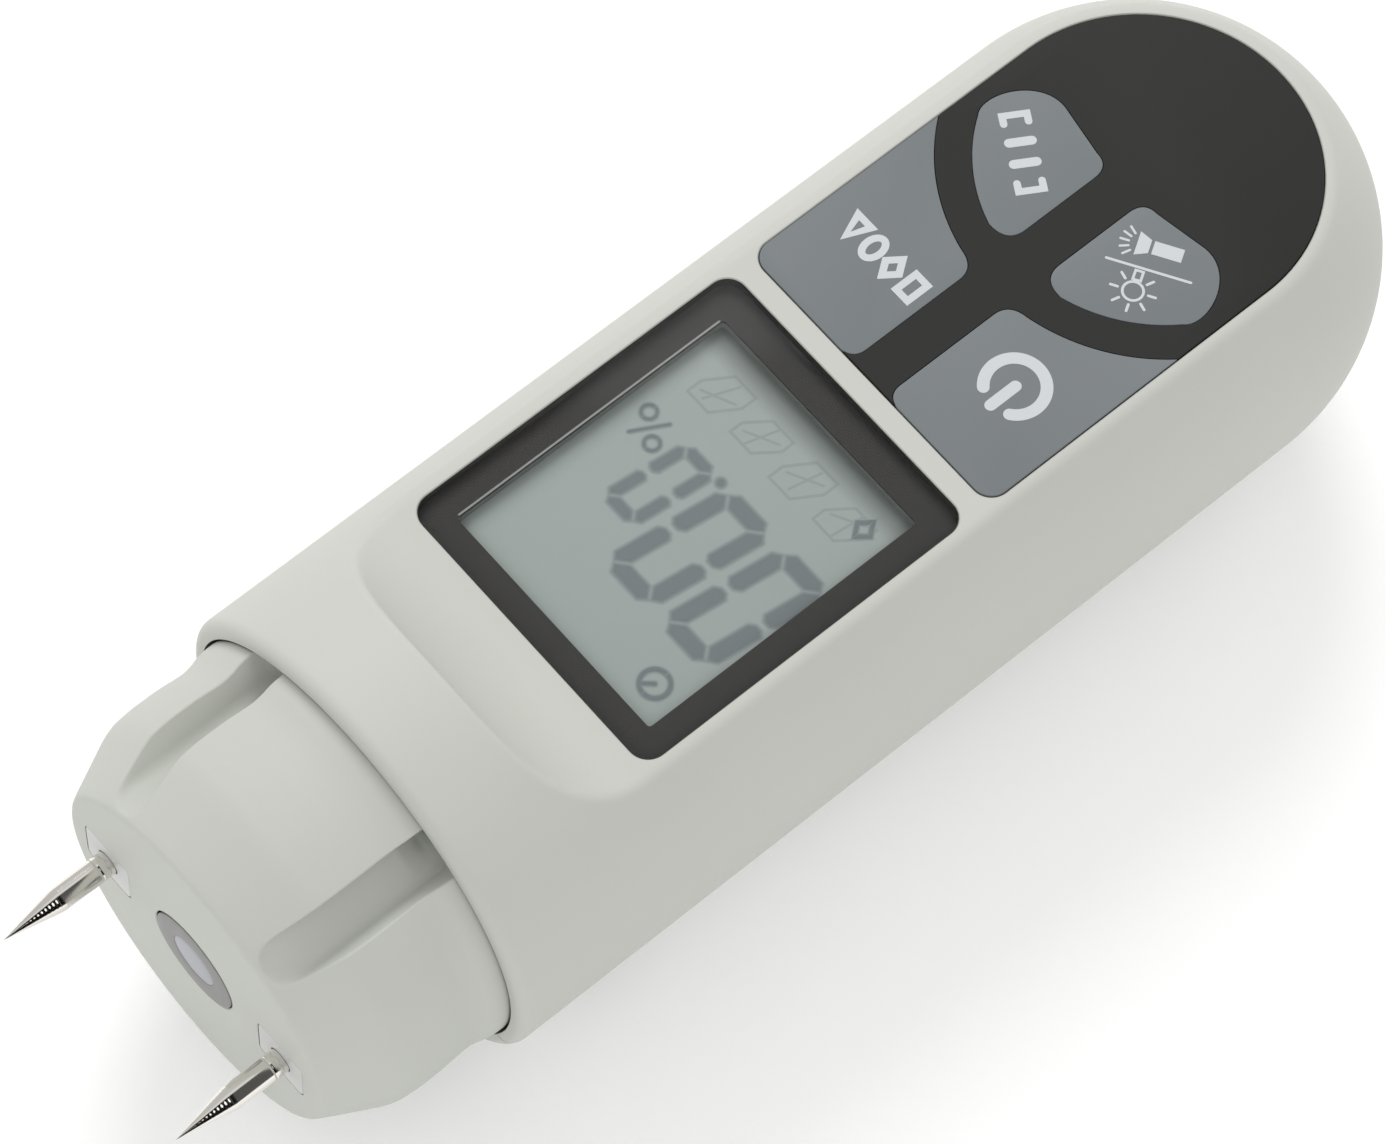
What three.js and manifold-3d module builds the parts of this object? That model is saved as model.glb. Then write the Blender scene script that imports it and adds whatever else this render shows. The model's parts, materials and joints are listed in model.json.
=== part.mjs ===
// Hand-held pin-type moisture meter: a round barrel with a flat deck for the display and keys,
// a nose block that carries two measuring pins and a torch, and a battery box under a sliding door.
//
// Millimetres, +Z up. The meter lies on its back: +X runs along the barrel towards the pins and
// +Z comes out of the display. Every place below is measured from the middle of the nose's front
// face, on the barrel's axis, and the whole group is lifted at the end so that the origin is in
// the middle of the part's footprint, on the surface that it lies on.

import * as THREE from 'three';
import { mergeVertices } from 'three/addons/utils/BufferGeometryUtils.js';
import Module from 'manifold-3d';

const wasm = await Module();
wasm.setup();

// ---------------------------------------------------------------- driving dimensions

const BARREL_RADIUS = 24;
const WALL = 2;
const DOME_X = -115; // centre of the round rear end
const LIP_X = -18.8; // front edge of the barrel
const LIP_ROUND = 1.2;
const FOOT = { front: -24.5, rear: -117.5, half: 9.5, flare: 1.4 }; // flat pad under the barrel
const PARTING_Z = -9; // where the two halves of the barrel meet
const FIT = 0.15; // gap between pieces that meet

const DECK_Z = 16.12; // flat face for the display and the keys
const DECK_THICKNESS = 2.2;
const SCOOP_X = -38.2; // where the deck starts to curve up to the round front of the barrel
const SCOOP_RADIUS = 10;

const PIN_PITCH = 25;
const PIN_LENGTH = 12.06;
const PIN_RADIUS = 1.25;
const PIN_CONE = 6.15;
const PIN_THREAD = 9;

const WINDOW = { front: -39, rear: -77.5, half: 16.6, corner: 2 };
const WINDOW_TOP = DECK_Z + 0.06;
const WINDOW_THICKNESS = 1.2;
const VIEW = { front: -42.1, rear: -74.15, half: 13.55, corner: 0.4 };
const KEYPAD = { front: -80.1, half: 16.7, corner: 2, roundX: -114.85 };
const KEYPAD_TOP = DECK_Z + 0.05;
const KEYPAD_THICKNESS = 0.85;
const KEY_THICKNESS = 0.5; // thinner than the keypad, which leaves the keys room to be pressed
const KEY_GAP = 0.12;
const KEY_ARC_X = -116; // centre of the two arcs that separate the front and rear keys
const KEY_ARC_OUTER = 20.9;
const KEY_ARC_INNER = 17.3;
const KEY_STEM_HALF = 2.4; // half-width of the black strip between left and right keys
const KEY_STEM_RADIUS = 2.4;

const BOARD = { top: 8.6, thickness: 1.6, front: -38, rear: -112.5, half: 18.6 };
const SWITCH = { size: 6, height: 3.5, buttonRadius: 1.75, buttonHeight: 1.5 };
const LCD = { top: 13.8, thickness: 2.2, front: -40.8, rear: -75.5, half: 15.2 };

// the case screws: place, the height of the seat under the head, and the bottom of the post
const CASE_SCREWS = [
  { x: -34, y: 13, seat: -16.5, foot: -30 },
  { x: -34, y: -13, seat: -16.5, foot: -30 },
  { x: -119, y: 9, seat: -14, foot: -16.4 }, // the rear two are covered by the door
  { x: -119, y: -9, seat: -14, foot: -16.4 },
];
const SCREW_TOP_Z = -1;
const BOARD_SCREW_SPOTS = [[-79.2, 13], [-79.2, -13], [-110.3, 0]];

const DOOR = { front: -53, half: 14.4 };
const RAIL = { front: -55, rear: -112, reach: 0.7, bottom: -17.7, top: -17.1 }; // along the door's sides
const TAB = { front: -51, rear: -55.4, half: 7, bottom: -20.3, top: -19.3 }; // at the door's front edge
const BOX = { front: -50, rear: -111.5, half: 14.2, top: 0.6, wall: 1.4 };
const BATTERY = { rear: -110.6, length: 46.4, half: 13.2, bottom: -17.2, height: 17.4 };

const SOCKET = { front: -1.5, rear: -18, radius: 2.7 };
const TORCH_RADIUS = 5.35;
const TORCH_LENS_RADIUS = 2.75;

const ROUND = 40; // facets round the barrel
const FINE = 24;
const MEDIUM = 16;
const SMALL = 8;

// the keys, by the side of the meter they sit on and the row they are in
const KEYS = [
  { name: 'power', side: 1, row: 'front', stem: [-89.8, 9.3] },
  { name: 'mode', side: -1, row: 'front', stem: [-89.8, -9.3] },
  { name: 'light', side: 1, row: 'rear', stem: [-106.2, 7.6] },
  { name: 'hold', side: -1, row: 'rear', stem: [-106.2, -7.6] },
];

// ---------------------------------------------------------------- finishes

const FINISH = {
  shell: { color: 0xd2d3cb, roughness: 0.5, metalness: 0 },
  nose: { color: 0xbfc2bc, roughness: 0.45, metalness: 0 },
  insert: { color: 0xc9cbc6, roughness: 0.4, metalness: 0 },
  black: { color: 0x333332, roughness: 0.45, metalness: 0 },
  key: { color: 0x7d8388, roughness: 0.45, metalness: 0 },
  clear: { color: 0xdfe8e8, roughness: 0.05, metalness: 0 },
  glass: { color: 0xa0acaa, roughness: 0.15, metalness: 0 },
  white: { color: 0xeeeeea, roughness: 0.6, metalness: 0 },
  rubber: { color: 0x2a2a2c, roughness: 0.9, metalness: 0 },
  board: { color: 0x1d6b3c, roughness: 0.5, metalness: 0 },
  chip: { color: 0x1b1b1d, roughness: 0.6, metalness: 0 },
  steel: { color: 0xb8b8ba, roughness: 0.3, metalness: 1 },
  nickel: { color: 0xd6d2c8, roughness: 0.15, metalness: 1 },
  brass: { color: 0xc9a24e, roughness: 0.3, metalness: 1 },
  grey: { color: 0x8b8e92, roughness: 0.4, metalness: 0 },
  battery: { color: 0x3a4a66, roughness: 0.4, metalness: 0.2 },
  red: { color: 0xb02a22, roughness: 0.6, metalness: 0 },
  foam: { color: 0x55565a, roughness: 1, metalness: 0 },
};

// ---------------------------------------------------------------- solids

// A closed three.js geometry as a solid. Triangles that shrank to a line at a pole are dropped,
// and a geometry whose faces point inwards is turned round.
function solid(geometry) {
  geometry.deleteAttribute('normal');
  geometry.deleteAttribute('uv');
  const merged = mergeVertices(geometry, 1e-4);
  const index = merged.index.array;
  const position = merged.attributes.position;
  const corners = [];
  const a = new THREE.Vector3();
  const b = new THREE.Vector3();
  const c = new THREE.Vector3();
  let volume = 0;
  for (let i = 0; i < index.length; i += 3) {
    const [p, q, r] = [index[i], index[i + 1], index[i + 2]];
    if (p === q || q === r || r === p) continue;
    corners.push(p, q, r);
    a.fromBufferAttribute(position, p);
    b.fromBufferAttribute(position, q);
    c.fromBufferAttribute(position, r);
    volume += a.dot(b.cross(c));
  }
  if (volume < 0) corners.reverse();
  const mesh = new wasm.Mesh({
    numProp: 3,
    vertProperties: new Float32Array(position.array),
    triVerts: new Uint32Array(corners),
  });
  return new wasm.Manifold(mesh);
}

function box(x0, x1, y0, y1, z0, z1) {
  const geometry = new THREE.BoxGeometry(Math.abs(x1 - x0), Math.abs(y1 - y0), Math.abs(z1 - z0));
  return solid(geometry.translate((x0 + x1) / 2, (y0 + y1) / 2, (z0 + z1) / 2));
}

function rodX(x0, x1, y, z, radius, sides = MEDIUM) {
  const geometry = new THREE.CylinderGeometry(radius, radius, Math.abs(x1 - x0), sides);
  return solid(geometry.rotateZ(-Math.PI / 2).translate((x0 + x1) / 2, y, z));
}

function rodZ(x, y, z0, z1, radius, sides = MEDIUM) {
  const geometry = new THREE.CylinderGeometry(radius, radius, Math.abs(z1 - z0), sides);
  return solid(geometry.rotateX(Math.PI / 2).translate(x, y, (z0 + z1) / 2));
}

// A profile of [x, radius] points turned round a line parallel to X.
function turnedX(profile, sides = ROUND, y = 0, z = 0) {
  const points = profile.map(([x, radius]) => new THREE.Vector2(radius, x));
  const geometry = new THREE.LatheGeometry(points, sides);
  return solid(geometry.rotateZ(-Math.PI / 2).translate(0, y, z));
}

// A profile of [z, radius] points turned round a line parallel to Z.
function turnedZ(profile, sides, x, y) {
  const points = profile.map(([z, radius]) => new THREE.Vector2(radius, z));
  const geometry = new THREE.LatheGeometry(points, sides);
  return solid(geometry.rotateX(Math.PI / 2).translate(x, y, 0));
}

// A shape drawn in X and Y, standing from z0 to z1.
function plate(shape, z0, z1, curveSegments = 4) {
  const options = { depth: z1 - z0, bevelEnabled: false, curveSegments };
  return solid(new THREE.ExtrudeGeometry(shape, options).translate(0, 0, z0));
}

// A shape drawn in X and Z, running from y0 to y1.
function slabY(shape, y0, y1, curveSegments = 8) {
  const options = { depth: y1 - y0, bevelEnabled: false, curveSegments };
  const geometry = new THREE.ExtrudeGeometry(shape, options);
  return solid(geometry.rotateX(Math.PI / 2).translate(0, y1, 0));
}

// A shape drawn in Y and Z, running from x0 to x1.
function slabX(shape, x0, x1, curveSegments = 3) {
  const options = { depth: x1 - x0, bevelEnabled: false, curveSegments };
  const geometry = new THREE.ExtrudeGeometry(shape, options);
  return solid(geometry.rotateY(Math.PI / 2).rotateX(Math.PI / 2).translate(x0, 0, 0));
}

function roundedRectangle(x0, x1, y0, y1, corner) {
  const shape = new THREE.Shape();
  shape.moveTo(x0 + corner, y0);
  shape.lineTo(x1 - corner, y0);
  shape.absarc(x1 - corner, y0 + corner, corner, -Math.PI / 2, 0, false);
  shape.lineTo(x1, y1 - corner);
  shape.absarc(x1 - corner, y1 - corner, corner, 0, Math.PI / 2, false);
  shape.lineTo(x0 + corner, y1);
  shape.absarc(x0 + corner, y1 - corner, corner, Math.PI / 2, Math.PI, false);
  shape.lineTo(x0, y0 + corner);
  shape.absarc(x0 + corner, y0 + corner, corner, Math.PI, Math.PI * 1.5, false);
  return shape;
}

// A wire or other round tube along a smooth curve.
function tube(points, radius, steps) {
  const curve = new THREE.CatmullRomCurve3(points.map((p) => new THREE.Vector3(...p)));
  const ring = new THREE.Shape();
  ring.absarc(0, 0, radius, 0, Math.PI * 2, false);
  return solid(new THREE.ExtrudeGeometry(ring, { steps, extrudePath: curve, curveSegments: 4 }));
}

function joined(solids) {
  return solids.reduce((whole, piece) => whole.add(piece));
}

function without(whole, cuts) {
  return cuts.reduce((rest, cut) => rest.subtract(cut), whole);
}

const meter = new THREE.Group();

function place(name, body, finish) {
  const made = body.getMesh();
  const geometry = new THREE.BufferGeometry();
  geometry.setAttribute('position', new THREE.BufferAttribute(made.vertProperties, 3));
  geometry.setIndex(new THREE.BufferAttribute(made.triVerts, 1));
  geometry.computeVertexNormals();
  const mesh = new THREE.Mesh(geometry, new THREE.MeshStandardMaterial(finish));
  mesh.name = name;
  meter.add(mesh);
}

// ---------------------------------------------------------------- the barrel's two halves

// The barrel's solid shape at a given radius: a rod with a round rear end.
function barrelCore(radius, frontX, lipRound = 0) {
  const profile = [[frontX, 0], [frontX, radius - lipRound]];
  const lipSteps = lipRound ? 3 : 0;
  for (let i = 1; i <= lipSteps; i += 1) {
    const angle = (i / lipSteps) * (Math.PI / 2);
    profile.push([
      frontX - lipRound * (1 - Math.cos(angle)),
      radius - lipRound * (1 - Math.sin(angle)),
    ]);
  }
  const domeSteps = 7;
  for (let i = 0; i < domeSteps; i += 1) {
    const angle = (i / domeSteps) * (Math.PI / 2);
    profile.push([DOME_X - radius * Math.sin(angle), radius * Math.cos(angle)]);
  }
  profile.push([DOME_X - radius, 0]);
  return turnedX(profile);
}

// The pad that squares off the bottom of the barrel, so that the meter lies still on its back.
function makeFoot() {
  const shape = new THREE.Shape();
  shape.moveTo(-FOOT.half, -BARREL_RADIUS);
  shape.lineTo(FOOT.half, -BARREL_RADIUS);
  shape.lineTo(FOOT.half + FOOT.flare, -BARREL_RADIUS + 3);
  shape.lineTo(-FOOT.half - FOOT.flare, -BARREL_RADIUS + 3);
  shape.closePath();
  return slabX(shape, FOOT.rear, FOOT.front);
}

// Everything above the deck, or above the underside of the deck when it is `depth` thick.
function aboveDeck(depth) {
  const radius = SCOOP_RADIUS + depth;
  const centreZ = DECK_Z + SCOOP_RADIUS;
  const shape = new THREE.Shape();
  shape.moveTo(-200, 60);
  shape.lineTo(-200, centreZ - radius);
  shape.lineTo(SCOOP_X, centreZ - radius);
  shape.absarc(SCOOP_X, centreZ, radius, -Math.PI / 2, 0, false);
  shape.lineTo(SCOOP_X + radius, 60);
  shape.closePath();
  return slabY(shape, -40, 40);
}

const innerRadius = BARREL_RADIUS - WALL;
const outer = barrelCore(BARREL_RADIUS, LIP_X, LIP_ROUND).subtract(aboveDeck(0)).add(makeFoot());
const inner = barrelCore(innerRadius, LIP_X - 1).subtract(aboveDeck(DECK_THICKNESS));

// the bore behind the lip holds the nose, and a rib in it fits the nose's groove
const NOSE_BORE_RADIUS = 22.3;
const RIB = { front: -21.05, rear: -22.15, radius: 20.8 };
const noseBore = rodX(LIP_X + 5, RIB.rear, 0, 0, NOSE_BORE_RADIUS, ROUND);
const ribRing = rodX(RIB.front, RIB.rear, 0, 0, BARREL_RADIUS - 1, ROUND)
  .subtract(rodX(RIB.front + 1, RIB.rear - 1, 0, 0, RIB.radius, ROUND));
const shell = outer.subtract(inner).subtract(noseBore).add(ribRing);

// The outline of the keypad: square at the front and round at the rear.
function keypadOutline(grow) {
  const half = KEYPAD.half + grow;
  const front = KEYPAD.front + grow;
  const corner = KEYPAD.corner;
  const shape = new THREE.Shape();
  shape.moveTo(KEYPAD.roundX, -half);
  shape.lineTo(front - corner, -half);
  shape.absarc(front - corner, -half + corner, corner, -Math.PI / 2, 0, false);
  shape.lineTo(front, half - corner);
  shape.absarc(front - corner, half - corner, corner, 0, Math.PI / 2, false);
  shape.lineTo(KEYPAD.roundX, half);
  shape.absarc(KEYPAD.roundX, 0, half, Math.PI / 2, Math.PI * 1.5, false);
  return shape;
}

function windowOutline(grow) {
  return roundedRectangle(
    WINDOW.rear - grow, WINDOW.front + grow, -WINDOW.half - grow, WINDOW.half + grow, WINDOW.corner,
  );
}

function makeTopHousing() {
  const bosses = CASE_SCREWS.map(({ x, y }) => rodZ(x, y, PARTING_Z, 22, 3));
  const posts = BOARD_SCREW_SPOTS.map(([x, y]) => rodZ(x, y, BOARD.top + FIT, DECK_Z - 1, 2.3));
  const windowLedgeZ = WINDOW_TOP - WINDOW_THICKNESS - 0.4;
  const keypadFloorZ = KEYPAD_TOP - KEYPAD_THICKNESS - 0.05;
  const cuts = [
    box(-200, 50, -50, 50, -60, PARTING_Z + FIT / 2),
    plate(windowOutline(0.1), windowLedgeZ, 30),
    box(VIEW.rear - 0.7, VIEW.front + 0.7, -VIEW.half - 0.7, VIEW.half + 0.7, 5, 30),
    plate(keypadOutline(0.1), keypadFloorZ, 30, 10),
    ...KEYS.map(({ stem }) => rodZ(...stem, 5, 30, KEY_STEM_RADIUS + 0.4)),
    ...CASE_SCREWS.map(({ x, y }) => rodZ(x, y, PARTING_Z - 1, SCREW_TOP_Z + 1, 1.45, SMALL)),
    ...BOARD_SCREW_SPOTS.map(([x, y]) => rodZ(x, y, BOARD.top - 1, 13.4, 1.1, SMALL)),
  ];
  return without(shell.add(joined([...bosses, ...posts]).intersect(outer)), cuts);
}

// The battery box hangs in the lower half. Its mouth runs out through the round rear end, and the
// door slides into it from there, with a rail on each side in a groove of the wall.
function makeBottomHousing() {
  const core = barrelCore(innerRadius, LIP_X - 1);
  const posts = CASE_SCREWS.map(({ x, y, foot }) => rodZ(x, y, foot, PARTING_Z, 3.8));
  const boxWalls = box(
    BOX.rear - BOX.wall, BOX.front + BOX.wall,
    -BOX.half - BOX.wall, BOX.half + BOX.wall, -30, BOX.top + BOX.wall,
  );
  const shelf = box(-123, BOX.rear - 0.5, -25, 25, PARTING_Z - 3, PARTING_Z); // carries the rear posts
  const edge = DOOR.half + 0.25;
  const mouth = box(-200, DOOR.front + 0.3, -edge, edge, -30, PARTING_Z)
    .subtract(barrelCore(innerRadius - 0.05, LIP_X - 1));
  const grooves = [1, -1].map((side) => box(
    -200, RAIL.front + 0.4, side * (edge - 0.3), side * (edge + RAIL.reach),
    RAIL.bottom - 0.25, RAIL.top + 0.25,
  ));
  const lowerShell = shell.subtract(box(-200, 50, -50, 50, PARTING_Z - FIT / 2, 60));
  const posted = joined([shelf, ...posts]).intersect(box(-200, 50, -50, 50, -60, PARTING_Z - FIT / 2));
  const cuts = [
    box(BOX.rear, BOX.front, -BOX.half, BOX.half, -30, BOX.top).intersect(core),
    mouth,
    ...grooves,
    box(BOX.rear - 2, BOX.rear + 1, -TAB.half - 0.6, TAB.half + 0.6, -30, TAB.top + 0.4), // tab's way out
    box(BOX.front - 1, BOX.front + 3, -6, 6, -6, 3), // gap in the front wall for the battery leads
    ...CASE_SCREWS.map(({ x, y }) => rodZ(x, y, -30, PARTING_Z + 1, 1.5, SMALL)),
    ...CASE_SCREWS.map(({ x, y, seat }) => rodZ(x, y, -30, seat, 3)),
  ];
  return without(lowerShell.add(joined([boxWalls, posted]).intersect(outer)), cuts);
}

// ---------------------------------------------------------------- nose block

const NOSE_PROFILE = [
  [0, 17.6], [-0.25, 18], [-0.8, 18.45], [-5.8, 20.95], [-7.2, 21.44], [-9.3, 21.63],
  [-12.2, 21.6], [-14.9, 21.42], [-16.2, 21.56], [-17.3, 21.86], [-18.3, 22],
];
const NOSE_REAR = -26;
const NOSE_FACE_THICKNESS = 3;
const NOSE_HOLLOW_RADIUS = 16.8;
const CAP_SLOT = { angle: 33.3, width: 4.4, floor: 18.1, front: -0.2, rear: -20.3 };

// Four round-ended slots for the legs of a protective cap, mirrored above and below the pins.
function capSlots() {
  const slots = [];
  const { front, rear, width, floor } = CAP_SLOT;
  const outline = roundedRectangle(rear, front, -width / 2, width / 2, width / 2 - 0.02);
  for (const turn of [0, 180]) {
    for (const side of [1, -1]) {
      const options = { depth: 10, bevelEnabled: false, curveSegments: 6 };
      const geometry = new THREE.ExtrudeGeometry(outline, options).translate(0, 0, floor);
      geometry.rotateX(THREE.MathUtils.degToRad(turn + side * CAP_SLOT.angle));
      slots.push(solid(geometry));
    }
  }
  return slots;
}

const pinSides = [['left', 1], ['right', -1]];
const pinY = PIN_PITCH / 2;
const INSERT = { half: 3.1, thickness: 1.2, corner: 0.8 };

function makeNose() {
  const profile = [
    [0, 0], ...NOSE_PROFILE, [RIB.front + FIT, 22], [RIB.front + FIT, RIB.radius - 0.3],
    [RIB.rear - FIT, RIB.radius - 0.3], [RIB.rear - FIT, 21.7], [NOSE_REAR, 21.7], [NOSE_REAR, 0],
  ];
  const hollow = rodX(NOSE_REAR - 1, -NOSE_FACE_THICKNESS, 0, 0, NOSE_HOLLOW_RADIUS, ROUND);
  const pinBosses = pinSides.map(([, side]) => rodX(-15, -2, side * pinY, 0, 4.25));
  const torchTube = rodX(-12, -2, 0, 0, 7.4);
  const body = turnedX(profile).subtract(hollow).add(joined([...pinBosses, torchTube]));
  const cuts = [
    ...capSlots(),
    rodX(-13, 1, 0, 0, TORCH_RADIUS + 0.15, FINE),
    ...pinSides.flatMap(([, side]) => [
      rodX(-16, -1, side * pinY, 0, SOCKET.radius + 0.2),
      slabX(insertOutline(side * pinY, INSERT.half + 0.1), -INSERT.thickness - 0.1, 1),
    ]),
  ];
  return without(body, cuts);
}

function insertOutline(y, half) {
  return roundedRectangle(y - half, y + half, -half, half, INSERT.corner);
}

function makePinInsert(side) {
  const y = side * pinY;
  return slabX(insertOutline(y, INSERT.half), -INSERT.thickness, 0)
    .subtract(rodX(-3, 1, y, 0, PIN_RADIUS + 0.2));
}

// A pin is a plated rod ground to a long point, with a thinner threaded end in its socket.
function makePin(side) {
  const thread = PIN_RADIUS - 0.2;
  const profile = [
    [-PIN_THREAD, 0], [-PIN_THREAD, thread], [-INSERT.thickness, thread],
    [-INSERT.thickness, PIN_RADIUS], [PIN_LENGTH - PIN_CONE, PIN_RADIUS], [PIN_LENGTH, 0],
  ];
  return turnedX(profile, MEDIUM, side * pinY);
}

function makeSocket(side) {
  const y = side * pinY;
  const cuts = [
    rodX(-PIN_THREAD - 0.5, 0, y, 0, PIN_RADIUS),
    rodX(SOCKET.rear - 1, SOCKET.rear + 3, y, 0, 1.3, SMALL), // cup that the lead is soldered into
  ];
  return without(rodX(SOCKET.rear, SOCKET.front, y, 0, SOCKET.radius), cuts);
}

// ---------------------------------------------------------------- torch

function makeTorchBezel() {
  const bore = TORCH_LENS_RADIUS + 0.15;
  const profile = [
    [-2.4, bore], [-2.4, TORCH_RADIUS], [0.05, TORCH_RADIUS], [0.15, TORCH_RADIUS - 0.2],
    [0.1, TORCH_RADIUS - 0.9], [-0.5, bore], [-2.4, bore],
  ];
  return turnedX(profile, FINE);
}

function makeTorchLens() {
  const radius = TORCH_LENS_RADIUS;
  const profile = [[-2.6, 0], [-2.6, radius], [-0.8, radius], [-0.35, radius * 0.6], [-0.2, 0]];
  return turnedX(profile, MEDIUM);
}

function makeTorchLed() {
  const dome = [[-9, 0], [-9, 2.9], [-8.1, 2.9], [-8.1, 2.5], [-5.4, 2.5]];
  for (let i = 1; i <= 3; i += 1) {
    const angle = (i / 4) * (Math.PI / 2);
    dome.push([-5.4 + 2.3 * Math.sin(angle), 2.5 * Math.cos(angle)]);
  }
  dome.push([-3.1, 0]);
  return turnedX(dome, MEDIUM);
}

function makeTorchBoard() {
  return rodX(-13.5, -12.3, 0, 0, 7.2);
}

// ---------------------------------------------------------------- display

function makeDisplayWindow() {
  return plate(windowOutline(0), WINDOW_TOP - WINDOW_THICKNESS, WINDOW_TOP);
}

function viewOutline(grow) {
  return roundedRectangle(
    VIEW.rear - grow, VIEW.front + grow, -VIEW.half - grow, VIEW.half + grow, VIEW.corner,
  );
}

function makeWindowBorder() {
  const top = WINDOW_TOP - WINDOW_THICKNESS - 0.06;
  return plate(windowOutline(-0.1), top - 0.24, top).subtract(plate(viewOutline(0), 5, 30));
}

function makeLcdPanel() {
  const { front, rear, half, top, thickness } = LCD;
  const glassFront = box(rear, front, -half, half, top - thickness / 2, top);
  const glassRear = box(rear, front + 1.6, -half, half, top - thickness, top - thickness / 2);
  return glassFront.add(glassRear.intersect(box(rear, front, -half, half, 5, 30)));
}

function makeLcdFrame() {
  const { front, rear, half } = LCD;
  const bottom = BOARD.top + FIT;
  const body = box(rear - 1.1, front + 1.1, -half - 1.2, half + 1.2, bottom, LCD.top);
  return body.subtract(box(rear - 0.15, front + 0.15, -half - 0.15, half + 0.15, 5, 30));
}

const guideTop = LCD.top - LCD.thickness - FIT;

function makeLightGuide() {
  return box(LCD.rear + 3.4, LCD.front - 3.4, -LCD.half + 0.6, LCD.half - 0.6, guideTop - 2, guideTop);
}

function makeZebraStrip(x) {
  return box(x - 1, x + 1, -LCD.half + 1, LCD.half - 1, BOARD.top + 0.05, guideTop + 0.1);
}

// ---------------------------------------------------------------- keypad

// One key's outline. The front keys fill the keypad's corners, and the rear keys are rounded
// triangles; an arc round the keypad's rear separates the two rows.
function keyOutline({ side, row }, shrink) {
  const s = KEY_STEM_HALF + shrink;
  const shape = new THREE.Shape();
  if (row === 'front') {
    const reach = shrink < 0 ? 1 : 0; // a cut runs out past the keypad's edge
    const half = KEYPAD.half + reach;
    const front = KEYPAD.front;
    const radius = KEY_ARC_OUTER + shrink;
    const meet = KEY_ARC_X + Math.sqrt(radius ** 2 - half ** 2);
    const inset = 2.2;
    const arcStart = Math.asin((s + inset) / radius);
    const arcEnd = Math.asin(half / radius);
    const corner = KEYPAD.corner;
    shape.moveTo(front + reach, s + 1.6);
    shape.lineTo(front + reach, half - corner);
    shape.absarc(front + reach - corner, half - corner, corner, 0, Math.PI / 2, false);
    shape.lineTo(meet, half);
    shape.absarc(KEY_ARC_X, 0, radius, arcEnd, arcStart, true);
    const turnX = KEY_ARC_X + radius * Math.cos(arcStart);
    shape.quadraticCurveTo(turnX + 0.3, s, turnX + inset, s);
    shape.lineTo(front - 1.8, s);
    shape.quadraticCurveTo(front - 0.2, s, front, s + 1.6);
  } else {
    const radius = KEY_ARC_INNER - shrink;
    const rear = -112.3 + shrink;
    const arcStart = Math.asin((s + 2.6) / radius);
    const arcEnd = Math.asin(14.3 / radius);
    const tipX = KEY_ARC_X + radius * Math.cos(arcEnd);
    shape.moveTo(rear + 2, s);
    shape.lineTo(KEY_ARC_X + radius * Math.cos(arcStart) - 2.2, s);
    const noseX = KEY_ARC_X + radius * Math.cos(arcStart);
    shape.quadraticCurveTo(noseX + 0.1, s, noseX, s + 2.6);
    shape.absarc(KEY_ARC_X, 0, radius, arcStart, arcEnd, false);
    shape.bezierCurveTo(tipX - 1.7, 16.1 - shrink, rear - 1.4, 13.8, rear - 1, 9.8);
    shape.lineTo(rear, s + 1.8);
    shape.quadraticCurveTo(rear, s, rear + 2, s);
  }
  if (side < 0) return mirrored(shape);
  return shape;
}

// The same outline on the other side of the barrel's axis.
function mirrored(shape) {
  const points = shape.getPoints(6).map((p) => new THREE.Vector2(p.x, -p.y));
  return new THREE.Shape(points.reverse());
}

function makeKeypad() {
  const bottom = KEYPAD_TOP - KEYPAD_THICKNESS;
  const film = plate(keypadOutline(0), bottom, KEYPAD_TOP, 10);
  return without(film, KEYS.map((key) => plate(keyOutline(key, -KEY_GAP), 5, 30, 6)));
}

const keyTop = KEYPAD_TOP + 0.02;
const stemEnd = BOARD.top + SWITCH.height + SWITCH.buttonHeight + 0.1;

function makeKey(key) {
  const cap = plate(keyOutline(key, 0), keyTop - KEY_THICKNESS, keyTop, 6);
  return cap.add(rodZ(...key.stem, stemEnd, keyTop - 0.1, KEY_STEM_RADIUS));
}

function makeSwitch({ stem: [x, y] }) {
  const half = SWITCH.size / 2;
  const base = BOARD.top + 0.05;
  return box(x - half, x + half, y - half, y + half, base, base + SWITCH.height)
    .subtract(rodZ(x, y, base + SWITCH.height - 1.4, 30, SWITCH.buttonRadius + 0.2, SMALL));
}

function makeSwitchButton({ stem: [x, y] }) {
  const top = BOARD.top + SWITCH.height + SWITCH.buttonHeight + 0.05;
  const bottom = top - SWITCH.buttonHeight - 0.9;
  return rodZ(x, y, bottom, top, SWITCH.buttonRadius, SMALL);
}

// ---------------------------------------------------------------- boards and their parts

function makeMainBoard() {
  const { front, rear, half, top, thickness } = BOARD;
  const shape = roundedRectangle(rear, front, -half, half, 3);
  const holes = BOARD_SCREW_SPOTS.map(([x, y]) => rodZ(x, y, 5, 12, 1.15, SMALL));
  return without(plate(shape, top - thickness, top), holes);
}

const boardBottom = BOARD.top - BOARD.thickness;

function makeController() {
  return box(-64, -56, -4, 4, boardBottom - 1.7, boardBottom - 0.1);
}

function makeBuzzer() {
  return rodZ(-96, 0, boardBottom - 4.3, boardBottom - 0.1, 6)
    .subtract(rodZ(-96, 0, boardBottom - 6, boardBottom - 3.4, 1, SMALL));
}

// ---------------------------------------------------------------- screws

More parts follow.
